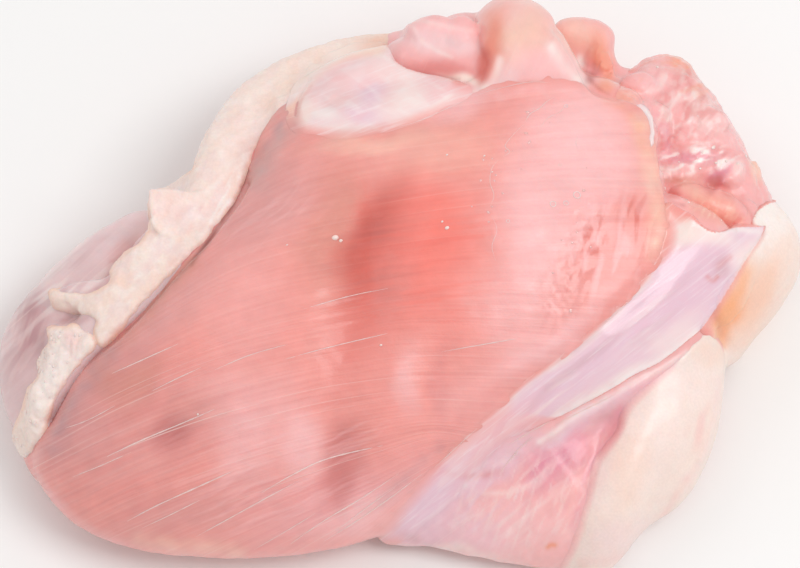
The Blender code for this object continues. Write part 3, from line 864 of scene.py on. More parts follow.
BACK_DABS = {
    "upper": ("veil", 0.95, 60, 24, 38, (108, 240)),
    "middle": ("grey_pink", 0.7, 34, 28, 38, (70, 276)),
    # Painted shade under the fat tab.
    "under_tab_shade": ("dusty", 0.5, 20, 10, 40, (128, 250)),
    "left_mauve": ("mauve", 1.0, 18, 50, -15, (25, 332)),
    "left_pale": ("grey_pink", 0.4, 9, 50, 0, (8, 356)),
    "middle_mauve": ("mauve", 0.15, 40, 20, 40, (92, 262)),
    "notch": ("mauve", 0.6, 22, 8, 10, (74, 322)),
    "beside_lump": ("grey_pink", 0.5, 10, 26, 0, (32, 384)),
}
BACK_STROKES = {
    "tab_shadow": ("deep_rose", 0.6, 2.6, [(150, 230), (141, 243), (129, 252), (116, 262)]),
    "fat_shadow": ("deep_rose", 0.4, 3.0, [(112, 262), (108, 274), (104, 286), (84, 292)]),
}
BACK_STREAKS = {
    "white": ("white", 0.4, 6, 50, 40, 70, 40, 40, (60, 280)),
    "white_left": ("milk", 0.25, 5, 36, 66, 24, 60, -10, (18, 350)),
    "mauve": ("mauve", 0.25, 5, 40, 44, 80, 60, 40, (60, 300)),
}


def tone_of_back(shown):
    return paint(shown, "grey_pink", BACK_DABS, BACK_STROKES, BACK_STREAKS)


back_muscle = lay_over("back_muscle", within_edge(BACK_OUTLINE, 0.5), rise_back)
back_finish = raw_meat("raw_back_muscle", fibre_mm=0.7, streak=0.05, roughness=0.4, wetness=0.55,
                       relief_mm=0.09)
finish_layer(back_muscle, tone_of_back, back_finish, fibres=42, lines=0.3)

# --- Inner muscle ---
# The muscle of the thigh's inner side, below the strap at the front right: pinker and more tender, with
# lilac membrane over it and a few white lines that fan out from under the strap.

INNER_OUTLINE = [
    (716, 318), (694, 326), (656, 350), (628, 364), (602, 380), (574, 394), (548, 406), (516, 420),
    (490, 434), (462, 452), (438, 472), (416, 494), (392, 516), (370, 534), (362, 552), (380, 575),
    (440, 590), (600, 590), (590, 552), (594, 522), (602, 494), (606, 472), (616, 450), (634, 430),
    (640, 410), (660, 384), (690, 362), (712, 344),
]
FILM_ARC = [(466, 486), (486, 494), (505, 493), (523, 488), (541, 478), (556, 460)]
FOLD_RIDGE = [(700, 342), (664, 366), (636, 384), (606, 400), (576, 416), (548, 434), (520, 452)]


def rise_inner(within, places):
    shown = seen_at(places)
    across, along = turned(shown, 35)
    bundles = 0.05 * lumps(np.stack([across * 0.2, along], 1), 1.1, 33)
    bundles += 0.09 * lumps(np.stack([across, along * 0.2], 1), 1.8, 34)
    folds = 0.35 * beside(FOLD_RIDGE, 0.8, shown) + 0.04 * beside(FILM_ARC, 0.8, shown)
    return dome(within, 0.35, 1.6) + (bundles + folds) * ramp(within, 0, 1.2)


INNER_DABS = {
    "lilac_end": ("lilac", 0.9, 46, 40, 20, (430, 508)),
    "middle_pink": ("blush", 0.6, 50, 26, 20, (490, 522)),
    "upper_lilac": ("lilac", 0.7, 56, 20, 30, (496, 458)),
    # Painted shadow under the strap's fold, over the muscle's own deeper pink (this dab and the next).
    "deep_pink_shadow": ("magenta", 0.95, 42, 22, 44, (560, 462)),
    "deep_corner_shadow": ("magenta", 0.6, 24, 10, 44, (612, 424)),
    "low_pink": ("blush", 0.6, 60, 26, 0, (530, 534)),
    "low_lilac": ("lilac", 0.4, 40, 20, 0, (470, 535)),
    "front_pale": ("milk", 0.6, 70, 8, -6, (440, 550)),
    "under_fold": ("blush", 0.8, 70, 10, 34, (616, 402)),
    "fold_lilac": ("lilac", 0.8, 60, 10, 32, (590, 422)),
    "pad_side": ("veil", 0.6, 28, 11, 40, (606, 420)),
    "ridge_side": ("veil", 0.45, 34, 9, 34, (572, 426)),
}
INNER_STROKES = {
    "band_red": ("rose", 0.5, 5.0, [(430, 468), (452, 473), (478, 475), (498, 470)]),
    "film_line": ("milk", 0.4, 3.5, FILM_ARC),
    # Painted highlight where the strap's white ridge runs on over the inner muscle, on its own pale membrane.
    "fold_top_highlight": ("white", 0.7, 4.0, [(686, 352), (656, 371), (628, 388), (600, 404), (570, 420),
                                     (540, 442)]),
    "fold_shadow": ("magenta", 0.3, 4.0, [(680, 360), (650, 381), (626, 396), (600, 414), (574, 434)]),
    "pad_side": ("magenta", 0.45, 4.0, [(622, 410), (614, 434), (598, 452), (588, 474), (582, 500),
                                        (574, 526)]),
    "front_edge": ("cream", 0.7, 5.0, [(372, 538), (388, 544), (412, 550), (440, 556)]),
    "left_shade": ("mauve", 0.35, 5.0, [(398, 528), (414, 538), (430, 544)]),
    "orange_speck": ("orange", 0.95, 2.8, [(550, 549), (553, 547), (557, 547)]),
}
INNER_STREAKS = {
    "milky": ("milk", 0.35, 6, 40, 35, 80, 50, 20, (500, 500)),
    "lilac_strands": ("lilac", 0.5, 5, 34, 50, 60, 40, 20, (460, 490)),
    "rosy": ("magenta", 0.2, 5, 26, 66, 60, 40, 30, (550, 480)),
    "hatch": ("milk", 0.35, 3, 18, 70, 80, 50, 0, (520, 500)),
}


def tone_of_inner(shown):
    return paint(shown, "pale_pink", INNER_DABS, INNER_STROKES, INNER_STREAKS)


inner_muscle = lay_over("inner_muscle", within_edge(INNER_OUTLINE, 0.45), rise_inner)
inner_finish = raw_meat("raw_inner_muscle", fibre_mm=0.6, streak=0.04, roughness=0.38, wetness=0.6,
                        relief_mm=0.08)
finish_layer(inner_muscle, tone_of_inner, inner_finish, fibres=35, lines=0.25)

# --- Folded ends ---
# Three cut ends of muscle curl up over the back edge: a block at the left, a thick finger in the middle
# whose membrane fans out onto the outer muscle, and a hook at the right.

FOLDED_OUTLINE = [
    (386, 46), (392, 5), (500, -20), (620, 5), (634, 60), (622, 84), (612, 100), (600, 98), (585, 92),
    (560, 88), (530, 87), (500, 92), (484, 97), (470, 100), (458, 88), (440, 81), (415, 77), (398, 70),
]
FINGER_FOOT = FOLDED_OUTLINE[13:5:-1]  # the edge on the outer muscle

LOBE_VOXEL = 0.32
LOBE_SOFTEN_ROUNDS = 3
LOBE_DETAIL = 5

# Rounded lobes of muscle: (place in the picture, mm toward the camera, half lengths in mm to the right, up
# the picture and toward the camera, turn in degrees).
FOLDED_LOBES = {
    "block": ((436, 42), -2.0, 5.0, 4.3, 3.3, -4),
    "block_right": ((460, 44), -1.9, 3.8, 4.4, 3.3, 0),
    "hook_top": ((580, 38), -2.0, 3.9, 2.6, 2.8, -26),
    "hook_side": ((600, 64), -1.2, 2.1, 3.4, 2.4, 10),
    "hook_low": ((592, 76), -1.2, 1.8, 1.6, 1.8, 0),
    "hook_knot": ((583, 60), -0.2, 1.0, 1.3, 1.0, 0),
}


def thin_edge(within, start, rise, reach):
    """A face that starts level with the meat around it, rises slowly, and dives outside the edge."""
    return np.where(within > 0, start + rise * ramp(within, 0, reach), start + 1.3 * within)


def rise_folded(within, places):
    shown = seen_at(places)
    folds = 0.3 * beside([(554, 42), (566, 60), (582, 78), (600, 92)], 0.8, shown)
    folds += 0.25 * beside([(500, 60), (494, 76), (484, 88), (468, 97)], 0.6, shown)
    foot = beside(FINGER_FOOT, 3.2, shown)
    face = dome(within, 0.8, 2.0) * (1 - foot) + thin_edge(within, 0.48, 0.4, 5) * foot
    return face + folds * ramp(within, 0, 1.5)


def sight_line(across, down):
    """The unit direction from the camera through a place in the picture."""
    slope_right = (across - PICTURE_WIDTH / 2) / PIXELS_PER_SLOPE
    slope_up = (PICTURE_HEIGHT / 2 - down) / PIXELS_PER_SLOPE
    line = -toward_camera + picture_right * slope_right + picture_up * slope_up
    return line / np.linalg.norm(line)


def lobe(name, middle, toward, right, up, deep, turn, detail=LOBE_DETAIL):
    """A rounded lobe that stands on the deep meat where a place in the picture falls on it."""
    surface = BVHTree.FromPolygons(ground["places"].tolist(), ground["quads"].tolist())
    hit = np.array(surface.ray_cast(Vector(camera_place), Vector(sight_line(*middle)))[0])
    made = bmesh.new()
    bmesh.ops.create_icosphere(made, subdivisions=detail, radius=1.0)
    mesh = bpy.data.meshes.new(name)
    made.to_mesh(mesh)
    made.free()
    ball = get_places(mesh) * MM
    cos, sin = math.cos(math.radians(turn)), math.sin(math.radians(turn))
    rightward, upward = picture_right * cos + picture_up * sin, picture_up * cos - picture_right * sin
    places = hit + toward_camera * toward
    places = places + ball[:, :1] * right * rightward + ball[:, 1:2] * up * upward
    places = places + ball[:, 2:] * deep * toward_camera
    piece = new_piece(name, mesh)
    set_places(mesh, places)
    return piece


def join(pieces, name):
    """Makes one piece of several."""
    bpy.ops.object.select_all(action="DESELECT")
    for piece in pieces:
        piece.select_set(True)
    bpy.context.view_layer.objects.active = pieces[0]
    bpy.ops.object.join()
    pieces[0].name = name
    return pieces[0]


def fuse(piece, lobes):
    """Grows lobes out of a piece and gives the whole one even skin."""
    grown = [lobe(name, *row) for name, row in lobes.items()]
    whole = join([piece, *grown], piece.name)
    skin_over(whole, LOBE_VOXEL, LOBE_SOFTEN_ROUNDS)
    return whole


def roughen(piece, height):
    """Moves a piece's points along their normals by a height worked out from their places."""
    places, normals = get_places(piece.data), get_normals(piece.data)
    set_places(piece.data, places + normals * height(places)[:, None])
    piece.data.shade_smooth()


def folded_relief(places):
    shown = seen_at(places)
    across, along = turned(shown, 60)
    bundles = 0.06 * lumps(np.stack([across, along * 0.2], 1), 1.2, 35) + 0.12 * lumps(places, 2.4, 36)
    crease = 0.12 * beside([(411, 26), (424, 44), (450, 58)], 0.7, shown)
    return (bundles + crease) * ramp(mm_inside(FOLDED_OUTLINE, shown), 0.2, 1.5)


FOLDED_DABS = {
    "block": ("blush", 0.8, 44, 16, -6, (438, 34)),
    "block_mid": ("veil", 0.65, 40, 12, -6, (440, 44)),
    # Painted shade on the block's lower face.
    "block_low_shade": ("rose", 1.0, 40, 9, -8, (434, 69)),
    "block_side": ("rose", 0.4, 8, 18, 0, (476, 48)),
    "fat_bits": ("cream", 0.95, 24, 6, -6, (462, 80)),
    "finger": ("peach", 0.75, 32, 30, -10, (514, 28)),
    "finger_top": ("blush", 0.5, 24, 14, 0, (504, 10)),
    "finger_shadow": ("orange", 0.75, 13, 34, -8, (493, 44)),
    # Painted shade down the finger's left side and in its corner with the block, as with finger_shadow (this
    # dab and the next).
    "finger_shadow_warm": ("orange_red", 0.4, 15, 32, -10, (492, 44)),
    "finger_corner_shade": ("red", 0.7, 9, 20, -8, (483, 62)),
    "finger_middle": ("blush", 0.6, 30, 22, 0, (540, 60)),
    "finger_lilac": ("veil", 0.5, 14, 20, -30, (506, 76)),
    "hook": ("peach", 0.65, 30, 20, -20, (580, 34)),
    "hook_edge": ("orange", 0.85, 10, 28, 10, (604, 58)),
    "hook_knot": ("white", 0.9, 6, 8, 0, (583, 58)),
    # Painted shadow in the pit under the hook.
    "hook_pit_shadow": ("deep_rose", 0.8, 5, 7, 0, (588, 78)),
    "hook_root": ("orange", 0.6, 14, 9, 0, (608, 84)),
}
FOLDED_STROKES = {
    "block_line": ("white", 0.4, 2.4, [(412, 28), (420, 40), (434, 50), (450, 58)]),
    "block_top": ("milk", 0.4, 3.0, [(400, 30), (414, 22), (440, 25), (470, 31)]),
    "finger_film": ("white", 0.6, 4.6, [(500, 58), (496, 72), (486, 86), (470, 95), (448, 104)]),
    "finger_shine": ("white", 0.8, 6.5, [(550, 46), (561, 60), (572, 73), (584, 85)]),
    "finger_foot": ("milk", 0.45, 1.6, [(484, 94), (505, 87), (530, 81), (558, 82)]),
    # Painted shadow along the groove under the block.
    "groove": ("brown_red", 0.5, 2.4, [(402, 67), (424, 74), (446, 78), (458, 80)]),
    # Painted shade in the crease on the finger's left side.
    "finger_groove_shade": ("red", 0.3, 2.0, [(478, 34), (482, 50), (486, 64), (482, 78)]),
    # Painted shade in the crease below the hook.
    "hook_groove_shade": ("brown_red", 0.5, 2.2, [(586, 72), (592, 82), (602, 90), (616, 98)]),
}


def blend_in(own, under, within, soft):
    """A layer's own colour, let down to what lies under it where its edge thins out."""
    share = ramp(within, 0.0, soft)[:, None]
    return own * share + under * (1 - share)


def tone_of_folded(shown):
    own = paint(shown, "pale_pink", FOLDED_DABS, FOLDED_STROKES)
    soft = 0.01 + 2.2 * beside(FINGER_FOOT, 2.5, shown)
    return blend_in(own, tone_of_outer(shown), mm_inside(FOLDED_OUTLINE, shown), soft)


folded_ends = lay_over("folded_ends", within_edge(FOLDED_OUTLINE, 0.75), rise_folded)
folded_ends = fuse(folded_ends, FOLDED_LOBES)
roughen(folded_ends, folded_relief)
ends_finish = raw_meat("raw_folded_ends", fibre_mm=0.8, streak=0.03, roughness=0.4, wetness=0.55,
                       relief_mm=0.08)
finish_layer(folded_ends, tone_of_folded, ends_finish, fibres=65, lines=0.1)

# --- Cut end ---
# The rough end where the thigh was cut and pulled from the hip. No membrane covers it, so the ends of the
# fibres, blood and small bits of fat and gristle all show.

CUT_OUTLINE = [
    (636, 112), (620, 106), (606, 98), (608, 84), (616, 66), (640, 36), (720, 34), (790, 130), (806, 196),
    (784, 214), (774, 240), (740, 246), (716, 246), (696, 238), (684, 226), (672, 218), (660, 206),
    (653, 176), (648, 150), (645, 128),
]
STUB_OUTLINE = [
    (664, 194), (676, 187), (692, 184), (706, 187), (724, 195), (746, 202), (758, 212), (756, 236),
    (700, 240),
]

# Lobes of the cut end, written as for the folded ends.
CUT_LOBES = {
    "left_face": ((640, 92), -1.6, 3.0, 3.2, 2.4, 20),
    "beside_rim": ((658, 128), -1.6, 2.2, 4.0, 2.3, 0),
    "mound": ((706, 122), -1.6, 3.6, 2.6, 2.2, 0),
    "low_mound": ((690, 144), -1.6, 3.6, 1.6, 2.2, 0),
    "pit_floor": ((714, 182), -1.4, 3.0, 1.8, 1.9, 0),
    "ragged_1": ((664, 172), -0.3, 1.2, 0.8, 0.9, 20),
    "ragged_2": ((676, 164), -0.2, 1.1, 0.7, 0.9, -10),
    "ragged_3": ((688, 160), -0.2, 1.2, 0.6, 0.9, 10),
    "ragged_4": ((698, 166), -0.4, 0.9, 0.6, 0.8, 0),
    "ragged_5": ((728, 162), -0.4, 1.3, 0.8, 0.9, -20),
    "white_lump": ((738, 172), -0.4, 1.0, 1.5, 1.1, -10),
    "thin_rim": ((757, 172), -0.4, 0.7, 2.0, 0.9, 14),
    "stub": ((708, 206), -0.3, 6.2, 2.9, 2.7, -15),
    "stub_side": ((746, 206), -0.9, 2.0, 1.3, 1.6, -24),
}


def rise_cut(within, places):
    """A low even face: the cut end's height is in its lobes and its relief."""
    return dome(within, 0.3, 1.0)


def cut_relief(places):
    shown = seen_at(places)
    rough = 0.22 * lumps(places, 2.2, 41) + 0.16 * lumps(places, 1.1, 42) + 0.07 * lumps(places, 0.6, 43)
    stub = ramp(mm_inside(STUB_OUTLINE, shown), 0, 1)
    rim = ramp(mm_inside(CUT_OUTLINE, shown), 0.2, 2.0)
    return rough * (1 - 0.75 * stub) * rim


CUT_DABS = {
    "crest": ("orange", 0.6, 30, 12, -24, (684, 66)),
    "left_face": ("blush", 0.5, 18, 40, -8, (650, 96)),
    "left_face_orange": ("orange", 0.6, 18, 12, -20, (626, 92)),
    "red_hollow": ("rose", 0.4, 12, 22, 0, (696, 92)),
    "middle": ("pale_pink", 0.5, 30, 34, 0, (680, 112)),
    "pale_mound": ("milk", 0.4, 20, 14, -20, (712, 118)),
    "right_slope": ("blush", 0.5, 14, 34, 35, (744, 140)),
    "low_pink": ("pale_pink", 0.6, 44, 10, 0, (694, 142)),
    # Painted shade beside the torn hip rim.
    "rim_pink_shade": ("magenta", 0.4, 6, 24, 10, (660, 138)),
    "ragged_white": ("milk", 0.3, 30, 7, 8, (684, 166)),
    "ragged_pink": ("magenta", 0.65, 30, 9, 0, (688, 160)),
    "ragged_left": ("milk", 0.6, 10, 6, 0, (662, 174)),
    # Painted shadow under the ragged bits.
    "under_ragged_shadow": ("tan", 0.6, 18, 4, 0, (672, 184)),
    # Painted shadow in the pit (this dab and the next).
    "pit": ("magenta", 0.95, 18, 8, 36, (714, 180)),
    "pit_shadow_deep": ("deep_rose", 0.75, 12, 5, 30, (712, 184)),
    "white_lump": ("white", 0.45, 8, 11, -10, (738, 174)),
    "thin_rim": ("peach", 0.8, 6, 14, 14, (757, 170)),
    "stub": ("orange", 0.6, 38, 17, -20, (712, 204)),
    "stub_red": ("red", 0.15, 26, 7, -20, (722, 218)),
    "stub_pale": ("peach", 0.4, 18, 5, -12, (690, 192)),
    "stub_pink": ("pale_pink", 0.7, 15, 10, -30, (750, 204)),
    # Painted shade in the corner above the stub.
    "dark_corner_shade": ("red", 0.6, 8, 5, 0, (666, 196)),
}
CUT_STROKES = {
    "rim_shadow": ("rose", 0.4, 3.0, [(656, 128), (659, 150), (662, 170)]),
    "stub_line": ("red", 0.4, 2.0, [(722, 192), (738, 200), (750, 210), (756, 222)]),
    "stub_shadow": ("brown_red", 0.35, 2.2, [(664, 198), (672, 204), (682, 206)]),
    "blood": ("red", 0.3, 2.4, [(684, 80), (696, 92), (706, 100)]),
}
CUT_STREAKS = {
    "white_flecks": ("white", 0.6, 8, 12, 60, 36, 44, -20, (684, 104)),
    "pink_flecks": ("rose", 0.55, 8, 12, 50, 60, 50, -20, (700, 110)),
    "fine_flecks": ("milk", 0.3, 4, 6, 60, 60, 50, -20, (690, 110)),
    "orange_flecks": ("orange", 0.7, 7, 12, 20, 60, 26, -20, (684, 70)),
    "ragged_flecks": ("white", 1.0, 5, 10, 20, 46, 16, 0, (694, 160)),
    "stub_fibres": ("peach", 0.5, 2.5, 8, 60, 34, 14, -20, (716, 210)),
}


def tone_of_cut(shown):
    return paint(shown, "pale_pink", CUT_DABS, CUT_STROKES, CUT_STREAKS)


cut_end = fuse(lay_over("cut_end", within_edge(CUT_OUTLINE, 0.7), rise_cut), CUT_LOBES)
roughen(cut_end, cut_relief)
cut_finish = raw_meat("raw_cut_end", fibre_mm=0.6, streak=0.04, roughness=0.42, wetness=0.7, relief_mm=0.12)
finish_layer(cut_end, tone_of_cut, cut_finish, fibres=-30, lines=0.1)

# --- Silverskin strap ---
# A flat strap of silverskin, thin and tough, from the hip to the front. It is pearly lilac where meat lies
# under it, cream along its upper edge, and its lower edge stands up in a white ridge, with a painted
# highlight along the ridge.

STRAP_OUTLINE = [
    (664, 204), (664, 230), (658, 254), (642, 277), (622, 299), (599, 321), (566, 349), (526, 378),
    (499, 402), (470, 429), (444, 452), (422, 474), (398, 500), (384, 520), (368, 540), (376, 554),
    (404, 548), (432, 528), (454, 508), (468, 490), (480, 474), (494, 458), (510, 444), (532, 429),
    (555, 419), (582, 405), (608, 391), (634, 375), (660, 362), (687, 341), (702, 328), (712, 314),
    (723, 298), (735, 278), (747, 258), (758, 242), (762, 234), (764, 226), (759, 227), (744, 227),
    (732, 228), (720, 232), (709, 231), (700, 225), (692, 216), (680, 210),
]
STRAP_RIDGE = [(696, 334), (684, 343), (660, 361), (634, 374), (608, 390), (582, 404), (555, 418), (530, 430)]
STRAP_FREE_END = [(368, 552), *STRAP_OUTLINE[16:23]]  # the front end, over the inner muscle
STRAP_UPPER_SIDE = STRAP_OUTLINE[:15]  # the long side over the outer muscle
TORN_EDGE = [
    (668, 208), (682, 211), (692, 217), (700, 226), (710, 232), (720, 233), (732, 229), (744, 228),
    (760, 230),
]


def rise_strap(within, places):
    shown = seen_at(places)
    ridge = 0.6 * beside(STRAP_RIDGE, 0.7, shown) * (0.75 + 0.25 * lumps(places, 2.5, 60))
    across, along = turned(shown, 38)
    creases = 0.04 * lumps(np.stack([across, along * 0.25], 1), 0.9, 55)
    creases += 0.07 * lumps(np.stack([across, along * 0.15], 1), 2.4, 56)
    free = beside(STRAP_FREE_END, 3.0, shown)
    torn = beside(TORN_EDGE, 1.6, shown)
    upper = beside(STRAP_UPPER_SIDE, 2.6, shown) * (1 - torn)
    body = dome(within, 0.75 - 0.2 * free + 0.4 * torn, 1.5 + 2.5 * free - 0.7 * torn)
    body = body * (1 - upper) + thin_edge(within, 0.5, 0.3, 3) * upper
    body *= 1 - 0.4 * beside(STRAP_RIDGE, 1.3, shown) * ramp(within, -0.1, 0.3)
    return body + (ridge + creases) * ramp(within, -0.2, 0.8)


STRAP_DABS = {
    "hip_lilac": ("lilac", 0.5, 34, 24, 40, (706, 264)),
    "hip_shade": ("mauve", 0.35, 14, 10, 50, (716, 272)),
    "middle_lilac": ("lilac", 0.7, 60, 14, 38, (640, 320)),
    # Painted highlight along the lower edge's ridge, on the silverskin's own pale edge (this dab and the
    # next).
    "ridge_highlight_pale": ("milk", 0.6, 34, 14, 38, (672, 336)),
    "ridge_highlight_milk": ("milk", 0.5, 70, 8, 32, (610, 388)),
    "middle_violet": ("mauve", 0.15, 70, 8, 38, (630, 322)),
    "middle_pale": ("milk", 0.2, 60, 8, 36, (656, 336)),
    "lower_lilac": ("lilac", 0.8, 60, 14, 38, (560, 378)),
    "lower_pale": ("milk", 0.2, 50, 8, 34, (574, 396)),
    "lower_pink": ("pale_pink", 0.45, 50, 12, 38, (500, 432)),
    "end_lilac": ("lilac", 0.7, 40, 26, 40, (440, 484)),
    "top_pale": ("milk", 0.85, 34, 14, 0, (700, 238)),
    "hip_side": ("milk", 0.8, 30, 14, 40, (752, 250)),
    "left_corner": ("peach", 0.8, 16, 12, -20, (676, 216)),
    "left_cream": ("cream", 0.7, 22, 14, 50, (680, 238)),
}
STRAP_STROKES = {
    "upper_edge": ("cream", 0.85, 8.0, [(664, 228), (655, 260), (638, 286), (618, 306), (596, 328),
                                        (562, 356), (524, 384), (496, 409), (470, 433), (446, 455)]),
    "upper_rim": ("peach", 0.5, 3.5, [(660, 236), (652, 262), (636, 284), (616, 304), (594, 325),
                                      (560, 353)]),
    "upper_edge_low": ("cream", 0.5, 4.0, [(446, 455), (430, 470), (414, 488)]),
    "torn_edge": ("white", 0.8, 3.6, TORN_EDGE),
    # Painted highlight on the white ridge, over the silverskin's own pale edge.
    "ridge": ("white", 0.95, 6.0, STRAP_RIDGE),
    "rose_patch": ("magenta", 0.5, 5.0, [(430, 472), (448, 474), (468, 474), (488, 468)]),
    "red_fleck": ("rose", 0.7, 2.4, [(706, 278), (712, 282), (716, 278)]),
    "red_fleck_2": ("rose", 0.4, 3.0, [(716, 268), (724, 262), (730, 258)]),
    "violet_line": ("mauve", 0.2, 3.0, [(650, 310), (616, 340), (580, 366), (546, 390)]),
}
STRAP_STREAKS = {
    "white_strands": ("white", 0.2, 5, 60, 40, 80, 26, 38, (640, 316)),
    "milky_strands": ("milk", 0.45, 6, 60, 36, 90, 24, 36, (540, 410)),
    "violet_strands": ("mauve", 0.2, 6, 60, 38, 110, 30, 38, (600, 350)),
    "fan": ("white", 0.35, 4, 40, 50, 46, 24, 45, (500, 446)),
    "end_strands": ("milk", 0.4, 5, 36, 50, 50, 30, 45, (430, 490)),
}


def tone_of_strap(shown):
    own = paint(shown, "lilac", STRAP_DABS, STRAP_STROKES, STRAP_STREAKS)
    within = mm_inside(STRAP_OUTLINE, shown)
    free = ramp(mm_from_path(STRAP_FREE_END, shown), 9.0, 3.0)
    own = blend_in(own, tone_of_inner(shown), within, 0.01 + 4.5 * free)
    upper = ramp(mm_from_path(STRAP_UPPER_SIDE, shown), 6.0, 2.0)
    corner = ramp(mm_from_path([(664, 204), (664, 240)], shown), 5.0, 1.0)
    low = ramp(shown[:, 1], 440, 500)
    soft = 0.01 + upper * (0.9 + 2.0 * corner + 2.2 * low)
    return blend_in(own, tone_of_outer(shown), within - 0.3 * upper, soft)


def silverskin(name, roughness, wetness, relief_mm):
    """Silverskin: a smooth tight sheet of connective tissue, pearly and half clear, with fine long fibres.

    It is glossier than the meat, and its faint white fibres run along the strap.
    """
    material, tree, shader = new_material(name)
    tone = add_node(tree, "ShaderNodeAttribute", attribute_name="tone").outputs["Vector"]
    fibres = add_node(tree, "ShaderNodeAttribute", attribute_name="fibres").outputs["Vector"]
    fine = add_node(tree, "ShaderNodeVectorMath", {0: fibres, 1: (2.2, 0.16, 0.0)}, operation="MULTIPLY")
    strands = add_node(tree, "ShaderNodeTexNoise", {
        "Vector": fine, "Scale": 1.0, "Detail": 3.0, "Distortion": 0.4,
    })
    strand = add_node(tree, "ShaderNodeMapRange", {"Value": strands, 1: 0.52, 2: 0.78, 3: 0.0, 4: 0.4})
    mixed = add_node(tree, "ShaderNodeMix", {0: strand, 6: tone, 7: (*linear("#FBEFF0"), 1.0)},
                     data_type="RGBA")
    tree.links.new(mixed.outputs[2], shader.inputs["Base Color"])
    bump = add_node(tree, "ShaderNodeBump", {"Height": strands, "Strength": 0.6,
                                             "Distance": relief_mm * MM})
    tree.links.new(bump.outputs[0], shader.inputs["Normal"])
    set_sockets(shader, {
        "Roughness": roughness,
        "IOR": 1.42,
        "Subsurface Weight": 0.2,
        "Subsurface Radius": (1.0, 0.5, 0.5),
        "Subsurface Scale": 0.001,
        "Coat Weight": wetness,
        "Coat Roughness": 0.14,
        "Coat IOR": 1.38,
    })
    return material


strap = lay_over("silverskin_strap", within_edge(STRAP_OUTLINE, 0.2, 0.06, 1.5, 54), rise_strap)
strap_finish = silverskin("silverskin", roughness=0.36, wetness=0.55, relief_mm=0.08)
finish_layer(strap, tone_of_strap, strap_finish, fibres=38)

# --- Hip fat ---
# Soft yellowish fat that folds over the right-hand end. Its torn upper edge lies over the cut meat, its left
# side thins out over the strap, and the hollow beside the strap is deep orange.

HIP_FAT_OUTLINE = [
    (750, 236), (752, 220), (764, 206), (784, 200), (830, 190), (840, 280), (780, 360), (724, 374),
    (716, 352), (704, 336), (698, 326), (708, 304), (720, 284), (732, 262), (742, 244),
]
HIP_FAT_THIN_SIDE = [
    (772, 204), (762, 210), (757, 222), (744, 240), (732, 262), (720, 284), (708, 304), (698, 324),
]


def rise_hip_fat(within, places):
    shown = seen_at(places)
    hollow = beside([(712, 312), (717, 326), (721, 340)], 1.0, shown)
    soft = 0.14 * lumps(places, 3.2, 52) + 0.05 * lumps(places, 1.2, 53)
    thin = beside(HIP_FAT_THIN_SIDE, 3.0, shown)
    face = dome(within, 0.95, 0.8) * (1 - thin) + thin_edge(within, 0.7, 0.3, 4) * thin
    return face + (soft - 0.6 * hollow) * ramp(within, 0, 1.0)


HIP_FAT_DABS = {
    "top": ("white", 0.9, 28, 32, 0, (774, 224)),
    "body": ("peach", 0.8, 28, 56, -30, (758, 292)),
    "body_warm": ("amber", 0.2, 24, 40, -30, (752, 300)),
    "hollow": ("amber", 0.9, 14, 28, -24, (723, 316)),
    "hollow_top": ("amber", 0.6, 10, 26, -24, (738, 284)),
    "edge": ("cream", 0.6, 12, 60, -30, (786, 286)),
}
HIP_FAT_STROKES = {
    "deep": ("amber", 0.7, 6.0, [(712, 306), (716, 324), (721, 342)]),
    "deep_brown": ("tan", 0.35, 3.0, [(714, 312), (717, 324), (720, 334)]),
}


def tone_of_hip_fat(shown):
    own = paint(shown, "cream", HIP_FAT_DABS, HIP_FAT_STROKES)
    within = mm_inside(HIP_FAT_OUTLINE, shown)
    thin = ramp(mm_from_path(HIP_FAT_THIN_SIDE, shown), 5.0, 1.0) * ramp(shown[:, 1], 218, 236)
    return blend_in(own, tone_of_strap(shown), within - 0.4 * thin, 0.01 + 3.4 * thin)


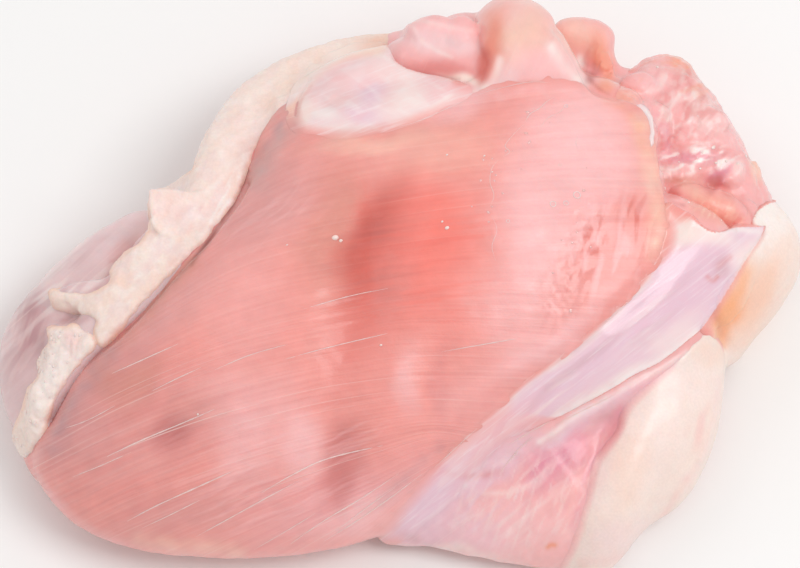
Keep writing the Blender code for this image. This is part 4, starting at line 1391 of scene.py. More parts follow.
def fat(name, roughness, wetness, lobule_mm, relief_mm, blush):
    """Raw chicken fat: soft, opaque cream with faint pink in its hollows, in lobules a millimetre across.

    Light goes deep into it, so it looks smooth and almost glows. Its juice gives it a low gloss.
    """
    material, tree, shader = new_material(name)
    tone = add_node(tree, "ShaderNodeAttribute", attribute_name="tone").outputs["Vector"]
    here = add_node(tree, "ShaderNodeTexCoord").outputs["Object"]
    lobules = add_node(tree, "ShaderNodeTexVoronoi", {
        "Vector": here, "Scale": 1000 / lobule_mm, "Smoothness": 0.6,
    }, feature="SMOOTH_F1")
    mottling = add_node(tree, "ShaderNodeTexNoise", {"Vector": here, "Scale": 420.0, "Detail": 3.0})
    speckle = add_node(tree, "ShaderNodeTexNoise", {"Vector": here, "Scale": 2600.0, "Detail": 1.0})
    hollow = add_node(tree, "ShaderNodeMapRange", {"Value": lobules, 1: 0.3, 2: 0.8})
    patch = add_node(tree, "ShaderNodeMapRange", {"Value": mottling, 1: 0.45, 2: 0.75})
    pinkness = add_node(tree, "ShaderNodeMath", {0: hollow, 1: 0.5, 2: patch}, operation="MULTIPLY_ADD")
    pinkness = add_node(tree, "ShaderNodeMath", {0: pinkness, 1: blush}, operation="MULTIPLY")
    mixed = add_node(tree, "ShaderNodeMix", {0: pinkness, 6: tone, 7: (*linear("#E9B9A8"), 1.0)},
                     data_type="RGBA")
    shade = add_node(tree, "ShaderNodeMapRange", {"Value": speckle, 1: 0.3, 2: 0.7, 3: 0.975, 4: 1.025})
    speckled = add_node(tree, "ShaderNodeVectorMath", {0: mixed.outputs[2], "Scale": shade},
                        operation="SCALE")
    tree.links.new(speckled.outputs[0], shader.inputs["Base Color"])
    height = add_node(tree, "ShaderNodeMath", {0: lobules, 1: -0.7, 2: mottling}, operation="MULTIPLY_ADD")
    height = add_node(tree, "ShaderNodeMath", {0: speckle, 1: 0.3, 2: height}, operation="MULTIPLY_ADD")
    bump = add_node(tree, "ShaderNodeBump", {"Height": height, "Strength": 0.7, "Distance": relief_mm * MM})
    tree.links.new(bump.outputs[0], shader.inputs["Normal"])
    set_sockets(shader, {
        "Roughness": roughness,
        "IOR": 1.44,
        "Subsurface Weight": 0.3,
        "Subsurface Radius": (1.0, 0.6, 0.45),
        "Subsurface Scale": 0.0012,
        "Coat Weight": wetness,
        "Coat Roughness": 0.22,
        "Coat IOR": 1.36,
    })
    return material


hip_fat = lay_over("hip_fat", within_edge(HIP_FAT_OUTLINE, 0.7, 0.2, 1.6, 51), rise_hip_fat)
hip_finish = fat("raw_hip_fat", roughness=0.45, wetness=0.35, lobule_mm=1.4, relief_mm=0.08, blush=0.14)
finish_layer(hip_fat, tone_of_hip_fat, hip_finish)

# --- Skin fat pad ---
# The smooth pad of fat that lay under the skin, at the front right corner. It is thickest in the middle,
# and its wavy inner edge thins out over the inner muscle.

PAD_OUTLINE = [
    (703, 330), (686, 347), (662, 366), (640, 386), (625, 400), (617, 414), (615, 430), (600, 446),
    (590, 458), (587, 472), (585, 486), (581, 500), (577, 512), (573, 528), (567, 546), (558, 562),
    (556, 590), (660, 600), (740, 500), (760, 380), (740, 350), (728, 356), (721, 344), (712, 334),
]
PAD_THIN_SIDE = [
    (662, 366), (640, 386), (617, 414), (600, 446), (587, 472), (581, 500), (573, 528), (560, 562),
]


def rise_pad(within, places):
    shown = seen_at(places)
    soft = 0.14 * lumps(places, 5.0, 62) + 0.05 * lumps(places, 1.7, 63)
    lip = 0.35 * beside([(708, 400), (706, 420), (700, 440), (694, 456)], 0.7, shown)
    thin = beside(PAD_THIN_SIDE, 2.4, shown)
    return dome(within, 0.9 - 0.2 * thin, 1.2 + 3.2 * thin) + (soft + lip) * ramp(within, 0, 1.2)


PAD_DABS = {
    "upper": ("milk", 0.5, 40, 30, 0, (680, 380)),
    "middle": ("milk", 0.5, 36, 60, -20, (650, 440)),
    "pink_low": ("veil", 0.5, 40, 22, 20, (620, 540)),
    "left_edge": ("milk", 0.7, 14, 44, -18, (604, 474)),
    "left_top": ("milk", 0.7, 16, 24, -30, (622, 420)),
    "peach_middle": ("peach", 0.35, 20, 40, -20, (630, 470)),
    "right_lip": ("pale_pink", 0.4, 6, 24, -12, (704, 430)),
    "yellow_top": ("peach", 0.35, 20, 12, 0, (712, 352)),
}
PAD_STROKES = {
    "wavy_edge": ("white", 0.5, 4.0, [(640, 392), (622, 412), (618, 430), (602, 448), (591, 470),
                                      (586, 494)]),
    "low_rim": ("pale_pink", 0.3, 5.0, [(690, 480), (670, 510), (650, 540), (620, 558), (580, 564)]),
    "right_rim": ("blush", 0.25, 4.0, [(716, 380), (716, 410), (706, 450), (690, 480)]),
}


def tone_of_pad(shown):
    own = paint(shown, "cream", PAD_DABS, PAD_STROKES)
    thin = ramp(mm_from_path(PAD_THIN_SIDE, shown), 4.0, 1.0)
    return blend_in(own, tone_of_inner(shown), mm_inside(PAD_OUTLINE, shown) - 0.2 * thin, 0.3 + 2.2 * thin)


pad = lay_over("skin_fat_pad", within_edge(PAD_OUTLINE, 0.55, 0.2, 2.2, 61), rise_pad)
pad_finish = fat("raw_skin_fat", roughness=0.42, wetness=0.45, lobule_mm=2.2, relief_mm=0.04, blush=0.08)
finish_layer(pad, tone_of_pad, pad_finish)

# --- Fat seam ---
# A strip of soft fat lies over the seam between the outer and back muscles. It was torn when the skin came
# off, which left a square tab at the top, a short finger at the left and knobbly lumps at the tip.

SEAM_OUTLINE = [
    (402, 46), (390, 50), (375, 51), (346, 58), (322, 73), (308, 88), (295, 102), (276, 116), (262, 136),
    (250, 160), (244, 182), (235, 202), (218, 224), (203, 243), (182, 264), (162, 286), (144, 305),
    (129, 323), (114, 338), (101, 348), (97, 340), (95, 330), (97, 322), (88, 317), (70, 315), (58, 311),
    (51, 302), (52, 290), (70, 291), (88, 293), (100, 290), (109, 283), (110, 272), (116, 261), (129, 251),
    (141, 243), (149, 230), (148, 214), (146, 194), (150, 178), (190, 172), (196, 140), (220, 90),
    (262, 40), (330, 10), (400, 8), (408, 30),
]
LUMP_OUTLINE = [
    (47, 330), (56, 327), (66, 328), (76, 325), (86, 329), (93, 336), (97, 346), (86, 358), (76, 371),
    (62, 391), (50, 418), (44, 434), (36, 450), (20, 462), (10, 440), (16, 424), (22, 408), (28, 388),
    (38, 376), (36, 362), (42, 350), (50, 340),
]
TAB_OUTLINE = [
    (148, 192), (152, 188), (164, 188), (176, 190), (190, 191), (204, 190), (210, 196), (212, 214),
    (204, 232), (186, 240), (164, 238), (152, 226), (149, 212),
]
FAT_VOXEL = 0.27
FAT_SOFTEN_ROUNDS = 3
SLAB_STEP = 1.6  # picture pixels
SLAB_STEEPEST = 0.6


def inside_fat_seam(places, normals):
    shown = seen_at(places)
    within = np.maximum(mm_inside(SEAM_OUTLINE, shown), mm_inside(LUMP_OUTLINE, shown))
    within += 0.22 * lumps(places, 1.7, 71) + 0.1 * lumps(places, 0.8, 72)
    low_edge = places[:, 2] - 4.5 + 2.0 * lumps(places, 7.0, 73)
    return np.minimum(np.minimum(within, low_edge), SIDE_FADE * (normals @ toward_camera + 0.85))


def rise_fat_seam(within, places):
    shown = seen_at(places)
    thin = ramp(shown[:, 0], 225, 300) * ramp(shown[:, 1], 190, 120)
    return dome(within, 1.05 - 0.55 * thin, 1.5 + 1.5 * thin)


def slab(name, outline, anchor, thickness, lift):
    """A thin closed slab with the given outline in the picture, lying along the surface at its anchor."""
    surface = BVHTree.FromPolygons(ground["places"].tolist(), ground["quads"].tolist())
    place, normal, _, _ = surface.ray_cast(Vector(camera_place), Vector(sight_line(*anchor)))
    place, normal = np.array(place), np.array(normal)
    sideways = normal - toward_camera * (normal @ toward_camera)
    slope = min(1.0 / (normal @ toward_camera), SLAB_STEEPEST / np.linalg.norm(sideways))
    normal = toward_camera + sideways * slope
    outline_rows = np.array(outline, float)
    xs = np.arange(outline_rows[:, 0].min() - 1, outline_rows[:, 0].max() + 1, SLAB_STEP)
    ys = np.arange(outline_rows[:, 1].min() - 1, outline_rows[:, 1].max() + 1, SLAB_STEP)
    grid = np.stack(np.meshgrid(xs, ys, indexing="ij"), -1)
    within = mm_inside(outline, grid.reshape(-1, 2)).reshape(len(xs), len(ys))
    half = thickness / 2 * np.sqrt(1 - (1 - np.clip(within / (thickness / 2), 0.05, 1)) ** 2)
    points, faces, number = [], [], {}
    for side in (1, -1):
        for i in range(len(xs)):
            for j in range(len(ys)):
                if within[i, j] > -0.05:
                    line = sight_line(*grid[i, j])
                    reach = ((place - camera_place) @ normal) / (line @ normal)
                    spot = camera_place + line * reach + toward_camera * (side * half[i, j] + lift)
                    number[side, i, j] = len(points)
                    points.append(spot * MM)
    for i in range(len(xs) - 1):
        for j in range(len(ys) - 1):
            corners = [(i, j), (i, j + 1), (i + 1, j + 1), (i + 1, j)]
            if all((1, *corner) in number for corner in corners):
                faces.append([number[1, *corner] for corner in corners])
                faces.append([number[-1, *corner] for corner in reversed(corners)])
    edges = {}
    for face in faces[::2]:
        for a, b in zip(face, face[1:] + face[:1]):
            edges[a, b] = True
    back = len(points) // 2
    for a, b in edges:
        if (b, a) not in edges:
            faces.append([b, a, a + back, b + back])
    mesh = bpy.data.meshes.new(name)
    mesh.from_pydata([tuple(point) for point in points], [], faces)
    return new_piece(name, mesh)


def knobbly(places):
    shown = seen_at(places)
    low = ramp(mm_inside(LUMP_OUTLINE, shown), -0.5, 1.0)
    soft = 0.2 * lumps(places, 3.0, 74) + 0.13 * lumps(places, 1.3, 75) + 0.07 * lumps(places, 0.7, 76)
    beads = 0.22 * np.abs(lumps(places, 0.9, 77)) * low
    return soft * (1 + 0.6 * low) + beads


fat_seam = lay_over("fat_seam", inside_fat_seam, rise_fat_seam)
fat_tab = slab("fat_tab", TAB_OUTLINE, anchor=(192, 222), thickness=1.6, lift=0.3)
fat_seam = join([fat_seam, fat_tab], "fat_seam")
skin_over(fat_seam, FAT_VOXEL, FAT_SOFTEN_ROUNDS)
roughen(fat_seam, knobbly)

SEAM_DABS = {
    "top_end": ("peach", 0.75, 24, 9, 8, (384, 42)),
    "upper": ("cream", 0.6, 60, 16, 35, (300, 76)),
    "upper_tan": ("peach", 0.5, 44, 12, 38, (284, 84)),
    "near_knob": ("veil", 0.6, 34, 12, 40, (300, 92)),
    "middle": ("milk", 0.5, 26, 50, -25, (238, 136)),
    "middle_grey": ("film_grey", 0.3, 12, 30, -28, (252, 142)),
    "inner_pink": ("milk", 0.6, 12, 30, -30, (226, 200)),
    "tab": ("milk", 0.5, 34, 26, 0, (176, 212)),
    "tab_grey": ("grey_pink", 0.3, 16, 14, 0, (170, 214)),
    "lower": ("cream", 0.6, 40, 14, 45, (140, 290)),
    "lower_tan": ("peach", 0.4, 14, 10, 0, (118, 278)),
    "lower_white": ("white", 0.5, 14, 26, -30, (154, 250)),
    "finger": ("cream", 0.7, 26, 9, -5, (72, 302)),
    "lumps": ("white", 0.5, 34, 44, -25, (60, 370)),
    "lumps_white": ("white", 0.6, 10, 30, -12, (38, 400)),
    "lumps_pink": ("blush", 0.4, 10, 14, -20, (72, 344)),
    "tip": ("peach", 0.2, 12, 20, -10, (48, 410)),
}
SEAM_STREAKS = {
    "white_mottle": ("white", 0.5, 9, 14, 40, 200, 220, 0, (200, 220)),
    "pink_mottle": ("veil", 0.3, 9, 16, 60, 200, 220, 0, (200, 220)),
    "grey_mottle": ("grey_pink", 0.3, 8, 12, 50, 60, 60, 0, (150, 250)),
    "peach_mottle": ("peach", 0.2, 12, 18, 30, 200, 220, 0, (200, 220)),
    "edge_strands": ("white", 0.7, 3, 14, 62, 14, 46, -32, (222, 206)),
}
SEAM_STROKES = {
    "inner_edge": ("blush", 0.35, 4.0, [(246, 180), (234, 202), (217, 225), (203, 242), (183, 263)]),
    "film_side": ("film_grey", 0.6, 7.0, [(294, 106), (276, 122), (262, 142), (250, 166)]),
    "low_edge": ("peach", 0.6, 3.0, [(163, 285), (145, 304), (130, 322), (114, 337)]),
    "crack": ("brown_red", 0.8, 1.8, [(97, 322), (94, 330), (95, 338), (98, 346)]),
    "tab_groove": ("pale_pink", 0.35, 2.6, [(204, 206), (196, 218), (188, 232)]),
}


def tone_of_fat_seam(shown):
    own = paint(shown, "cream", SEAM_DABS, SEAM_STROKES, SEAM_STREAKS)
    within = np.maximum(mm_inside(SEAM_OUTLINE, shown), mm_inside(LUMP_OUTLINE, shown))
    within = np.maximum(within, mm_inside(TAB_OUTLINE, shown))
    return blend_in(own, np.array(linear(TONES["peach"])), within + 0.5, 1.2)


seam_finish = fat("raw_seam_fat", roughness=0.5, wetness=0.3, lobule_mm=1.1, relief_mm=0.10, blush=0.16)
finish_layer(fat_seam, tone_of_fat_seam, seam_finish)

# --- Membrane over the knob ---
# The shoulder of muscle at the back is wrapped in thick white membrane, with blotches of pink and violet
# where blood lies under it. It thins out towards the outer muscle.

KNOB_OUTLINE = [
    (392, 50), (376, 44), (346, 48), (318, 62), (300, 80), (290, 98), (286, 118), (294, 134), (312, 142),
    (348, 146), (380, 141), (410, 133), (440, 121), (470, 107), (492, 94), (482, 86), (466, 80), (440, 75),
    (415, 71), (400, 64),
]
KNOB_CREASE = [(311, 84), (303, 96), (298, 108), (296, 118)]
KNOB_LEFT_SIDE = [(376, 44), (346, 48), (318, 62), (300, 80), (288, 100), (286, 118), (294, 134)]
KNOB_THIN_SIDE = [(286, 122), *KNOB_OUTLINE[7:15]]  # the side over the outer muscle


def rise_knob(within, places):
    soft = 0.12 * lumps(places, 3.6, 58) + 0.05 * lumps(places, 1.4, 59)
    shown = seen_at(places)
    thin = beside(KNOB_THIN_SIDE, 4.0, shown)
    crease = 0.25 * beside(KNOB_CREASE, 0.35, shown)
    left = beside(KNOB_LEFT_SIDE, 3.0, shown)
    face = dome(within, 0.85, 1.6 + 3.4 * thin) * (1 - left) + thin_edge(within, 0.5, 0.35, 4) * left
    return face + (soft - crease) * ramp(within, 0, 1.5)


KNOB_DABS = {
    "top": ("blush", 0.4, 40, 10, 15, (350, 66)),
    "top_pale": ("milk", 0.5, 26, 12, 0, (386, 68)),
    "blotch_left": ("pale_pink", 0.4, 18, 14, 0, (334, 88)),
    "blotch_violet": ("lilac", 0.8, 17, 13, 0, (370, 86)),
    "blotch_low": ("lilac", 0.7, 26, 12, 0, (364, 112)),
    # Painted highlights on the membrane's own white (this dab and the next).
    "white_left": ("white", 0.7, 13, 11, 0, (320, 114)),
    "white_middle_highlight": ("milk", 0.8, 22, 22, -20, (404, 94)),
    "violet_spot": ("magenta", 0.3, 8, 5, 0, (392, 122)),
    "right": ("blush", 0.6, 34, 14, -8, (448, 90)),
    "right_low_sheen": ("milk", 0.5, 26, 7, 25, (436, 108)),
    "left_edge": ("cream", 0.7, 9, 26, -20, (300, 116)),
    "left_pink": ("grey_pink", 0.7, 16, 18, 0, (328, 94)),
}
KNOB_STROKES = {
    "top_edge": ("white", 0.5, 3.0, [(376, 53), (392, 60), (412, 70), (440, 77), (466, 83)]),
    "low_edge": ("cream", 0.5, 6.0, [(296, 130), (330, 132), (370, 129), (410, 122), (446, 110), (480, 96)]),
    "low_line": ("white", 0.45, 1.6, [(386, 128), (404, 126), (424, 120), (450, 108), (478, 96)]),
    # Painted shade in the crease at the knob's left side.
    "left_crease_shade": ("deep_rose", 0.45, 1.6, KNOB_CREASE),
}
KNOB_STREAKS = {
    "white_strands": ("white", 0.3, 7, 26, -30, 90, 30, 0, (390, 96)),
    "pink_patches": ("pale_pink", 0.3, 10, 16, 30, 60, 30, 0, (350, 90)),
    "right_strands": ("white", 0.4, 4, 30, 30, 40, 14, 20, (446, 100)),
}


def tone_of_knob(shown):
    own = paint(shown, "veil", KNOB_DABS, KNOB_STROKES, KNOB_STREAKS)
    thin = ramp(mm_from_path(KNOB_THIN_SIDE, shown), 6.0, 2.0)
    own = blend_in(own, tone_of_outer(shown), mm_inside(KNOB_OUTLINE, shown) - 0.7 * thin, 0.01 + 2.6 * thin)
    left = ramp(mm_from_path(KNOB_LEFT_SIDE, shown), 2.6, 0.6) * ramp(shown[:, 1], 126, 100)
    return own * (1 - left[:, None]) + tone_of_fat_seam(shown) * left[:, None]


knob = lay_over("knob_membrane", within_edge(KNOB_OUTLINE, 0.3, 0.15, 1.8, 57), rise_knob)
knob_finish = silverskin("thick_membrane", roughness=0.4, wetness=0.5, relief_mm=0.05)
finish_layer(knob, tone_of_knob, knob_finish, fibres=20)

# --- Rim flap ---
# A torn bit of white membrane that curls up from the hip rim of the outer muscle, where it still holds on.
# It is thicker than the film on the muscle, so it looks milky, and whitest along its edge.

RIM_FLAP_OUTLINE = [
    (635, 106), (641, 107), (647, 113), (651, 124), (652, 140), (648, 151), (646, 143), (647, 132),
    (644, 122), (639, 114),
]
RIM_FLAP_STROKES = {"edge": ("white", 0.7, 2.4, [(640, 107), (650, 116), (653, 132), (648, 150)])}


def rise_rim_flap(within, places):
    return dome(within, 0.95, 0.5) + 0.12 * lumps(places, 0.9, 65) * ramp(within, 0, 0.4)


def tone_of_rim_flap(shown):
    return paint(shown, "veil", {}, RIM_FLAP_STROKES)


rim_flap = lay_over("rim_flap", within_edge(RIM_FLAP_OUTLINE, 2.0, 0.1, 0.8, 64), rise_rim_flap)
flap_finish = silverskin("torn_membrane", roughness=0.4, wetness=0.5, relief_mm=0.05)
finish_layer(rim_flap, tone_of_rim_flap, flap_finish, fibres=70)

# --- Membrane threads ---
# Fine white threads of membrane, a tenth of a millimetre thick and half sunk in the meat: the edges of the
# fibre bundles at the front left, the torn film on the wet part and the fans at the strap's end.

# Each thread: (half thickness mm, path in the picture).
THREADS = {
    "bundle_1": (0.093, [(106, 376), (140, 361), (182, 342)]),
    "bundle_2": (0.085, [(150, 392), (176, 379), (204, 366)]),
    "bundle_3": (0.102, [(96, 462), (140, 441), (190, 420), (226, 404)]),
    "bundle_4": (0.111, [(122, 524), (156, 506), (200, 486), (244, 466)]),
    "bundle_5": (0.085, [(138, 530), (172, 514), (206, 497)]),
    "bundle_6": (0.102, [(190, 540), (230, 518), (270, 496), (306, 477)]),
    "bundle_7": (0.111, [(256, 496), (294, 474), (330, 458), (398, 442)]),
    "bundle_8": (0.093, [(250, 552), (288, 530), (324, 508)]),
    "bundle_9": (0.119, [(282, 550), (322, 522), (362, 498), (404, 470)]),
    "bundle_10": (0.111, [(316, 546), (352, 524), (390, 498), (430, 468)]),
    "bundle_11": (0.085, [(330, 536), (366, 508), (400, 484)]),
    "bundle_12": (0.076, [(282, 360), (330, 347), (398, 331)]),
    "bundle_13": (0.076, [(210, 372), (250, 355), (296, 342)]),
    "bundle_14": (0.076, [(70, 478), (100, 466), (136, 450)]),
    "bundle_15": (0.076, [(60, 430), (88, 420), (118, 404)]),
    "bundle_16": (0.068, [(440, 352), (480, 345), (520, 338)]),
    "bundle_17": (0.068, [(300, 310), (350, 296), (390, 288)]),
    "film_1": (0.069, [(556, 96), (546, 102), (540, 108), (530, 114), (524, 124)]),
    "film_2": (0.057, [(524, 124), (512, 136), (505, 146), (510, 152), (500, 158)]),
    "film_3": (0.052, [(500, 158), (492, 168), (490, 182), (494, 196), (489, 208)]),
    "film_4": (0.052, [(566, 104), (560, 112), (548, 118), (540, 128)]),
    "film_5": (0.046, [(578, 134), (576, 144), (580, 152)]),
    "film_6": (0.046, [(492, 216), (497, 230), (492, 246), (496, 262)]),
    "finger_foot": (0.052, [(470, 99), (486, 92), (505, 87), (530, 82), (558, 83)]),
    "knob_edge": (0.057, [(392, 127), (406, 125), (424, 119), (448, 108), (470, 99)]),
    "fan_1": (0.098, [(552, 420), (534, 430), (520, 438), (504, 448)]),
    "fan_2": (0.084, [(536, 434), (522, 446), (508, 462), (500, 474)]),
    "fan_3": (0.077, [(620, 392), (596, 404), (572, 416), (548, 430)]),
    "seam_edge_1": (0.063, [(480, 426), (462, 442), (446, 457), (430, 472)]),
    "seam_edge_2": (0.057, [(640, 290), (618, 311), (594, 333)]),
}
THREAD_STEP = 0.3
THREAD_SIDES = 6
THREAD_SUNK = 0.3  # of its half thickness


def sight_surfaces(pieces):
    """The pieces' surfaces, ready for sight lines."""
    graph = bpy.context.evaluated_depsgraph_get()
    return [BVHTree.FromObject(piece, graph) for piece in pieces]


def seen_on(surfaces, across, down):
    """The place in mm, and the surface's direction there, that shows at a place in the picture."""
    best, best_reach = None, math.inf
    for surface in surfaces:
        place, normal, _, reach = surface.ray_cast(Vector(camera_place * MM),
                                                   Vector(sight_line(across, down)))
        if place is not None and reach < best_reach:
            best, best_reach = (np.array(place) / MM, np.array(normal)), reach
    return best


def add_sockets(tree, inputs):
    """Gives a node tree a geometry output and named inputs."""
    tree.interface.new_socket("Geometry", in_out="OUTPUT", socket_type="NodeSocketGeometry")
    tree.interface.new_socket("Geometry", in_out="INPUT", socket_type="NodeSocketGeometry")
    for name, kind in inputs.items():
        tree.interface.new_socket(name, in_out="INPUT", socket_type="NodeSocket" + kind)


def grow(piece, tree, values):
    """Runs a node tree on a piece with the given inputs, and keeps what it makes as a plain mesh."""
    modifier = piece.modifiers.new(tree.name, "NODES")
    modifier.node_group = tree
    for item in tree.interface.items_tree:
        if item.item_type == "SOCKET" and item.in_out == "INPUT" and item.name in values:
            modifier[item.identifier] = values[item.name]
    apply_modifiers(piece)


def thread_tree():
    """Turns edges into round threads with tapered ends, as thick as their own "thick" values say."""
    tree = bpy.data.node_groups.new("membrane_threads", "GeometryNodeTree")
    add_sockets(tree, {"Step": "Float", "Sides": "Int", "Material": "Material"})
    given = add_node(tree, "NodeGroupInput").outputs
    curves = add_node(tree, "GeometryNodeMeshToCurve", {"Mesh": given["Geometry"]})
    even = add_node(tree, "GeometryNodeResampleCurve", {"Curve": curves, "Length": given["Step"]},
                    mode="LENGTH")
    thick = add_node(tree, "GeometryNodeInputNamedAttribute", {"Name": "thick"}, data_type="FLOAT")
    share = add_node(tree, "GeometryNodeSplineParameter")
    mid = add_node(tree, "ShaderNodeMath", {0: share.outputs["Factor"], 1: 0.5}, operation="SUBTRACT")
    mid = add_node(tree, "ShaderNodeMath", {0: mid}, operation="ABSOLUTE")
    taper = add_node(tree, "ShaderNodeMapRange", {"Value": mid, 1: 0.2, 2: 0.5, 3: 1.0, 4: 0.25})
    wave = add_node(tree, "ShaderNodeTexNoise", {"Scale": 900.0})
    uneven = add_node(tree, "ShaderNodeMapRange", {"Value": wave, 1: 0.3, 2: 0.7, 3: 0.6, 4: 1.3})
    radius = add_node(tree, "ShaderNodeMath", {0: taper, 1: uneven}, operation="MULTIPLY")
    radius = add_node(tree, "ShaderNodeMath", {0: radius, 1: thick.outputs["Attribute"]},
                      operation="MULTIPLY")
    ring = add_node(tree, "GeometryNodeCurvePrimitiveCircle", {"Resolution": given["Sides"], "Radius": 1.0})
    tubes = add_node(tree, "GeometryNodeCurveToMesh", {
        "Curve": even, "Profile Curve": ring, "Scale": radius, "Fill Caps": True,
    })
    smooth = add_node(tree, "GeometryNodeSetShadeSmooth", {"Geometry": tubes})
    whole = add_node(tree, "GeometryNodeRealizeInstances", {"Geometry": smooth})
    coloured = add_node(tree, "GeometryNodeSetMaterial", {"Geometry": whole, "Material": given["Material"]})
    add_node(tree, "NodeGroupOutput", {"Geometry": coloured})
    return tree


def wet_bit(name, colour, roughness, wetness):
    """A small wet bit of membrane, fat or juice: half clear, so the pink of the meat shows in it."""
    material, _, shader = new_material(name)
    set_sockets(shader, {
        "Base Color": (*linear(colour), 1.0),
        "Roughness": roughness,
        "Subsurface Weight": 0.3,
        "Subsurface Radius": (1.0, 0.5, 0.4),
        "Subsurface Scale": 0.0008,
        "Coat Weight": wetness,
        "Coat Roughness": 0.1,
    })
    return material


surfaces = sight_surfaces([outer_muscle, inner_muscle, folded_ends, strap, knob])
points, edges, thicknesses = [], [], []
for half_thickness, path in THREADS.values():
    start = len(points)
    for across, down in smooth_path(path, 6 * len(path)):
        place, normal = seen_on(surfaces, across, down)
        points.append((place - normal * THREAD_SUNK * half_thickness) * MM)
        thicknesses.append(half_thickness * MM)
    edges += [(k, k + 1) for k in range(start, len(points) - 1)]
thread_mesh = bpy.data.meshes.new("membrane_threads")
thread_mesh.from_pydata([tuple(point) for point in points], edges, [])
keep_on_points(thread_mesh, "thick", np.array(thicknesses))
threads = new_piece("membrane_threads", thread_mesh)
wet_thread = wet_bit("wet_thread", "#F8CFC9", roughness=0.35, wetness=0.5)
grow(threads, thread_tree(), {"Step": THREAD_STEP * MM, "Sides": THREAD_SIDES, "Material": wet_thread})
on_meat(threads)

# --- Crumbs of fat ---
# Crumbs of white fat and gristle, up to a millimetre across: on the ragged part of the cut end, over the fat
# seam's knobbly tip, and a few loose ones on the outer muscle.

CRUMB_SPACING = 0.5
SMALLEST_CRUMB = 0.08
LARGEST_CUT_CRUMB = 0.30
LARGEST_SEAM_CRUMB = 0.26
CRUMB_FLATNESS = 0.6
CRUMB_DETAIL = 2
CLOSEST_CRUMBS = 6.0e6  # per square metre
CRUMB_LIFT = 0.55
CRUMB_TURN = 30
CRUMB_PLACES = {
    "large": (0.42, (335, 238)),
    "large_beside": (0.22, (341, 241)),
    "middle": (0.24, (447, 228)),
    "middle_beside": (0.16, (442, 222)),
    "left": (0.17, (287, 245)),
    "low": (0.14, (381, 345)),
    "top": (0.14, (447, 155)),
    "right": (0.16, (484, 156)),
    "right_beside": (0.13, (492, 172)),
    "left_low": (0.13, (198, 414)),
}


def crumb_tree():
    """Sets small uneven crumbs on a surface, as thick as its own "crumbs" values say."""
    tree = bpy.data.node_groups.new("fat_crumbs", "GeometryNodeTree")
    add_sockets(tree, {
        "Spacing": "Float", "Smallest": "Float", "Largest": "Float", "Flatness": "Float",
        "Detail": "Int", "Seed": "Int", "Material": "Material",
    })
    given = add_node(tree, "NodeGroupInput").outputs
    crumbs = add_node(tree, "GeometryNodeInputNamedAttribute", {"Name": "crumbs"}, data_type="FLOAT")
    places = add_node(tree, "GeometryNodeDistributePointsOnFaces", {
        "Mesh": given["Geometry"], "Distance Min": given["Spacing"], "Density Max": CLOSEST_CRUMBS,
        "Density Factor": crumbs.outputs["Attribute"], "Seed": given["Seed"],
    }, distribute_method="POISSON")
    ball = add_node(tree, "GeometryNodeMeshIcoSphere", {"Radius": 1.0, "Subdivisions": given["Detail"]})
    size = add_node(tree, "FunctionNodeRandomValue", {
        2: given["Smallest"], 3: given["Largest"], "Seed": given["Seed"],
    }, data_type="FLOAT")
    turn = add_node(tree, "FunctionNodeRandomValue", {0: (0, 0, 0), 1: (0, 0, 6.28), "Seed": given["Seed"]},
                    data_type="FLOAT_VECTOR")
    long = add_node(tree, "FunctionNodeRandomValue", {2: 0.8, 3: 1.6, "Seed": given["Seed"]},
                    data_type="FLOAT")
    wide = add_node(tree, "ShaderNodeMath", {0: size.outputs[1], 1: long.outputs[1]}, operation="MULTIPLY")
    high = add_node(tree, "ShaderNodeMath", {0: size.outputs[1], 1: given["Flatness"]}, operation="MULTIPLY")
    scale = add_node(tree, "ShaderNodeCombineXYZ", {0: wide, 1: size.outputs[1], 2: high})
    upright = add_node(tree, "FunctionNodeRotateRotation", {0: places.outputs["Rotation"], 1: turn},
                       rotation_space="LOCAL")
    set_down = add_node(tree, "GeometryNodeInstanceOnPoints", {
        "Points": places, "Instance": ball, "Rotation": upright, "Scale": scale,
    })
    whole = add_node(tree, "GeometryNodeRealizeInstances", {"Geometry": set_down})
    smooth = add_node(tree, "GeometryNodeSetShadeSmooth", {"Geometry": whole})
    coloured = add_node(tree, "GeometryNodeSetMaterial", {"Geometry": smooth, "Material": given["Material"]})
    add_node(tree, "NodeGroupOutput", {"Geometry": coloured})
    return tree


def scatter(name, piece, density, values):
    """Scatters crumbs or drops over a copy of a piece, as thickly as `density` says."""
    base = new_piece(name, piece.data.copy())
    keep_on_points(base.data, "crumbs", density)
    base.data.materials.clear()
    grow(base, small_tree, values)
    return base


def crumbly(places):
    return 0.1 * lumps(places, 0.4, 66)


small_tree = crumb_tree()
fat_crumb = wet_bit("white_fat", "#F8DCD5", roughness=0.4, wetness=0.5)
shown = seen_at(get_places(cut_end.data))
facing = ramp(get_normals(cut_end.data) @ toward_camera, 0.0, 0.3)
ragged = 0.16 * dab_weight(shown, 50, 10, 4, (698, 164)) + 0.006 * ramp(mm_inside(CUT_OUTLINE, shown), 0, 2)
ragged = ragged * facing
settings = {
    "Spacing": CRUMB_SPACING * MM, "Smallest": SMALLEST_CRUMB * MM, "Largest": LARGEST_CUT_CRUMB * MM,
    "Flatness": CRUMB_FLATNESS, "Detail": CRUMB_DETAIL, "Material": fat_crumb,
}
cut_crumbs = scatter("cut_crumbs", cut_end, ragged, {**settings, "Seed": 3})
shown = seen_at(get_places(fat_seam.data))
facing = ramp(get_normals(fat_seam.data) @ toward_camera, 0.0, 0.3)
tip = 0.2 * ramp(mm_inside(LUMP_OUTLINE, shown), -0.3, 0.6)
settings["Largest"] = LARGEST_SEAM_CRUMB * MM
seam_crumbs = scatter("seam_crumbs", fat_seam, tip * facing, {**settings, "Seed": 5})
loose = []
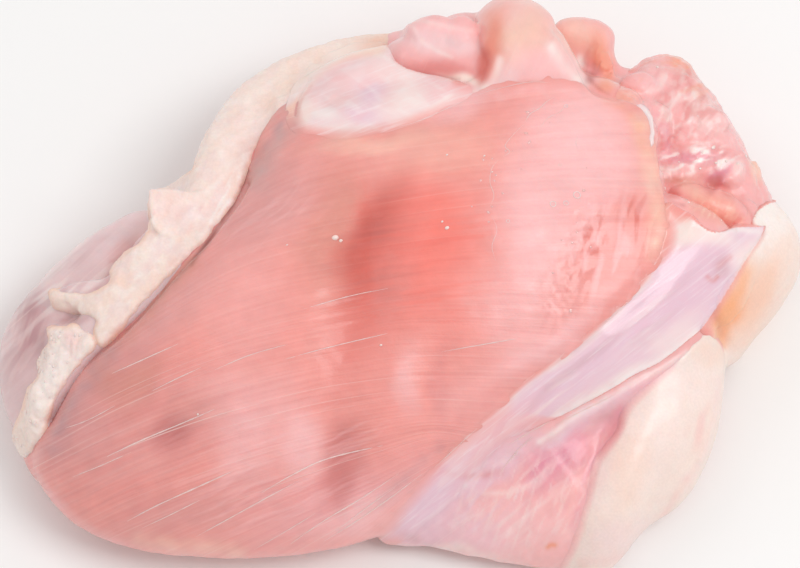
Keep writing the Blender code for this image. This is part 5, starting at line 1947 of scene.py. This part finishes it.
for name, (radius, place) in CRUMB_PLACES.items():
    size = (1.3 * radius, radius, 0.7 * radius)
    loose.append(lobe("crumb_" + name, place, CRUMB_LIFT, *size, CRUMB_TURN, CRUMB_DETAIL))
    roughen(loose[-1], crumbly)
    loose[-1].data.materials.append(fat_crumb)
crumbs = join([cut_crumbs, seam_crumbs, *loose], "fat_crumbs")
on_meat(crumbs)

# --- Juice ---
# Clear juice that has wept out onto the outer muscle's wet side: tiny drops, and a few bubbles caught under
# the film, drawn as pale rings that stand in for the light caught round their edges (painted light).

BUBBLES = {
    "bubble_1": (0.50, (577, 195)),
    "bubble_2": (0.34, (566, 203)),
    "bubble_3": (0.42, (553, 204)),
    "bubble_4": (0.26, (566, 106)),
    "bubble_5": (0.24, (508, 221)),
    "bubble_6": (0.20, (560, 165)),
}
DROP_SPACING = 0.9
SMALLEST_DROP = 0.07
LARGEST_DROP = 0.22
DROP_FLATNESS = 0.4
RING_THICKNESS = 0.15  # of the bubble's radius

clear_juice = wet_bit("meat_juice", "#FBBDB8", roughness=0.08, wetness=1.0)
shown = seen_at(get_places(outer_muscle.data))
facing = ramp(get_normals(outer_muscle.data) @ toward_camera, 0.0, 0.3)
wet = 0.35 * beside(WET_EDGE, 1.6, shown) + 0.35 * beside(WRINKLES, 1.8, shown)
wet += 0.02 * ramp(mm_inside(OUTER_OUTLINE, shown), 1.0, 3.0) * dab_weight(shown, 120, 120, 0, (560, 200))
wet = wet * facing * ramp(mm_inside(OUTER_OUTLINE, shown), 0.5, 1.5)
drops = scatter("juice_drops", outer_muscle, wet, {
    "Spacing": DROP_SPACING * MM, "Smallest": SMALLEST_DROP * MM, "Largest": LARGEST_DROP * MM,
    "Flatness": DROP_FLATNESS, "Detail": CRUMB_DETAIL, "Seed": 9, "Material": clear_juice,
})
light_rings = []
# Each bubble is a pale ring that stands in for the light caught round its edge: painted light.
for name, (radius, place) in BUBBLES.items():
    middle, normal = seen_on(surfaces, *place)
    bpy.ops.mesh.primitive_torus_add(major_radius=radius * MM, minor_radius=RING_THICKNESS * radius * MM,
                                     major_segments=28, minor_segments=8)
    ring = bpy.context.object
    turn = Vector(normal).to_track_quat("Z", "Y").to_matrix().to_4x4()
    ring.data.transform(turn)
    set_places(ring.data, get_places(ring.data) + middle)
    ring.name = name
    ring.data.shade_smooth()
    ring.data.materials.append(fat_crumb)
    light_rings.append(ring)
bubbles = join(light_rings, "juice_bubbles")
on_meat(drops)
on_meat(bubbles)

# --- Table and light ---
# A plain pale table under soft studio light: an even white surround and a large softbox high at the front
# right, which makes the right side the palest.

FLOOR_HALF = 600.0
bpy.ops.mesh.primitive_plane_add(size=2 * FLOOR_HALF * MM, location=(0, 0, 0))
floor = bpy.context.object
floor.name = "table"
pale, _, shader = new_material("pale_table")
set_sockets(shader, {"Base Color": (*linear("#F6F5F4"), 1.0), "Roughness": 0.7})
floor.data.materials.append(pale)

SURROUND_STRENGTH = 0.66
world = bpy.data.worlds.new("studio")
bpy.context.scene.world = world
world.use_nodes = True
background = world.node_tree.nodes["Background"]
set_sockets(background, {"Color": (1.0, 1.0, 1.0, 1.0), "Strength": SURROUND_STRENGTH})


def softbox(name, place, size, power):
    """A square soft light that faces the piece."""
    light = bpy.data.lights.new(name, "AREA")
    light.size = size
    light.energy = power
    made = bpy.data.objects.new(name, light)
    made.location = place
    made.rotation_euler = (Vector((0, 0, 0.015)) - Vector(place)).to_track_quat("-Z", "Y").to_euler()
    bpy.context.scene.collection.objects.link(made)


softbox("key", place=(0.30, -0.10, 0.55), size=0.28, power=1.4)
softbox("fill", place=(-0.35, 0.30, 0.50), size=0.5, power=0.7)
bpy.context.scene.view_settings.view_transform = "Standard"
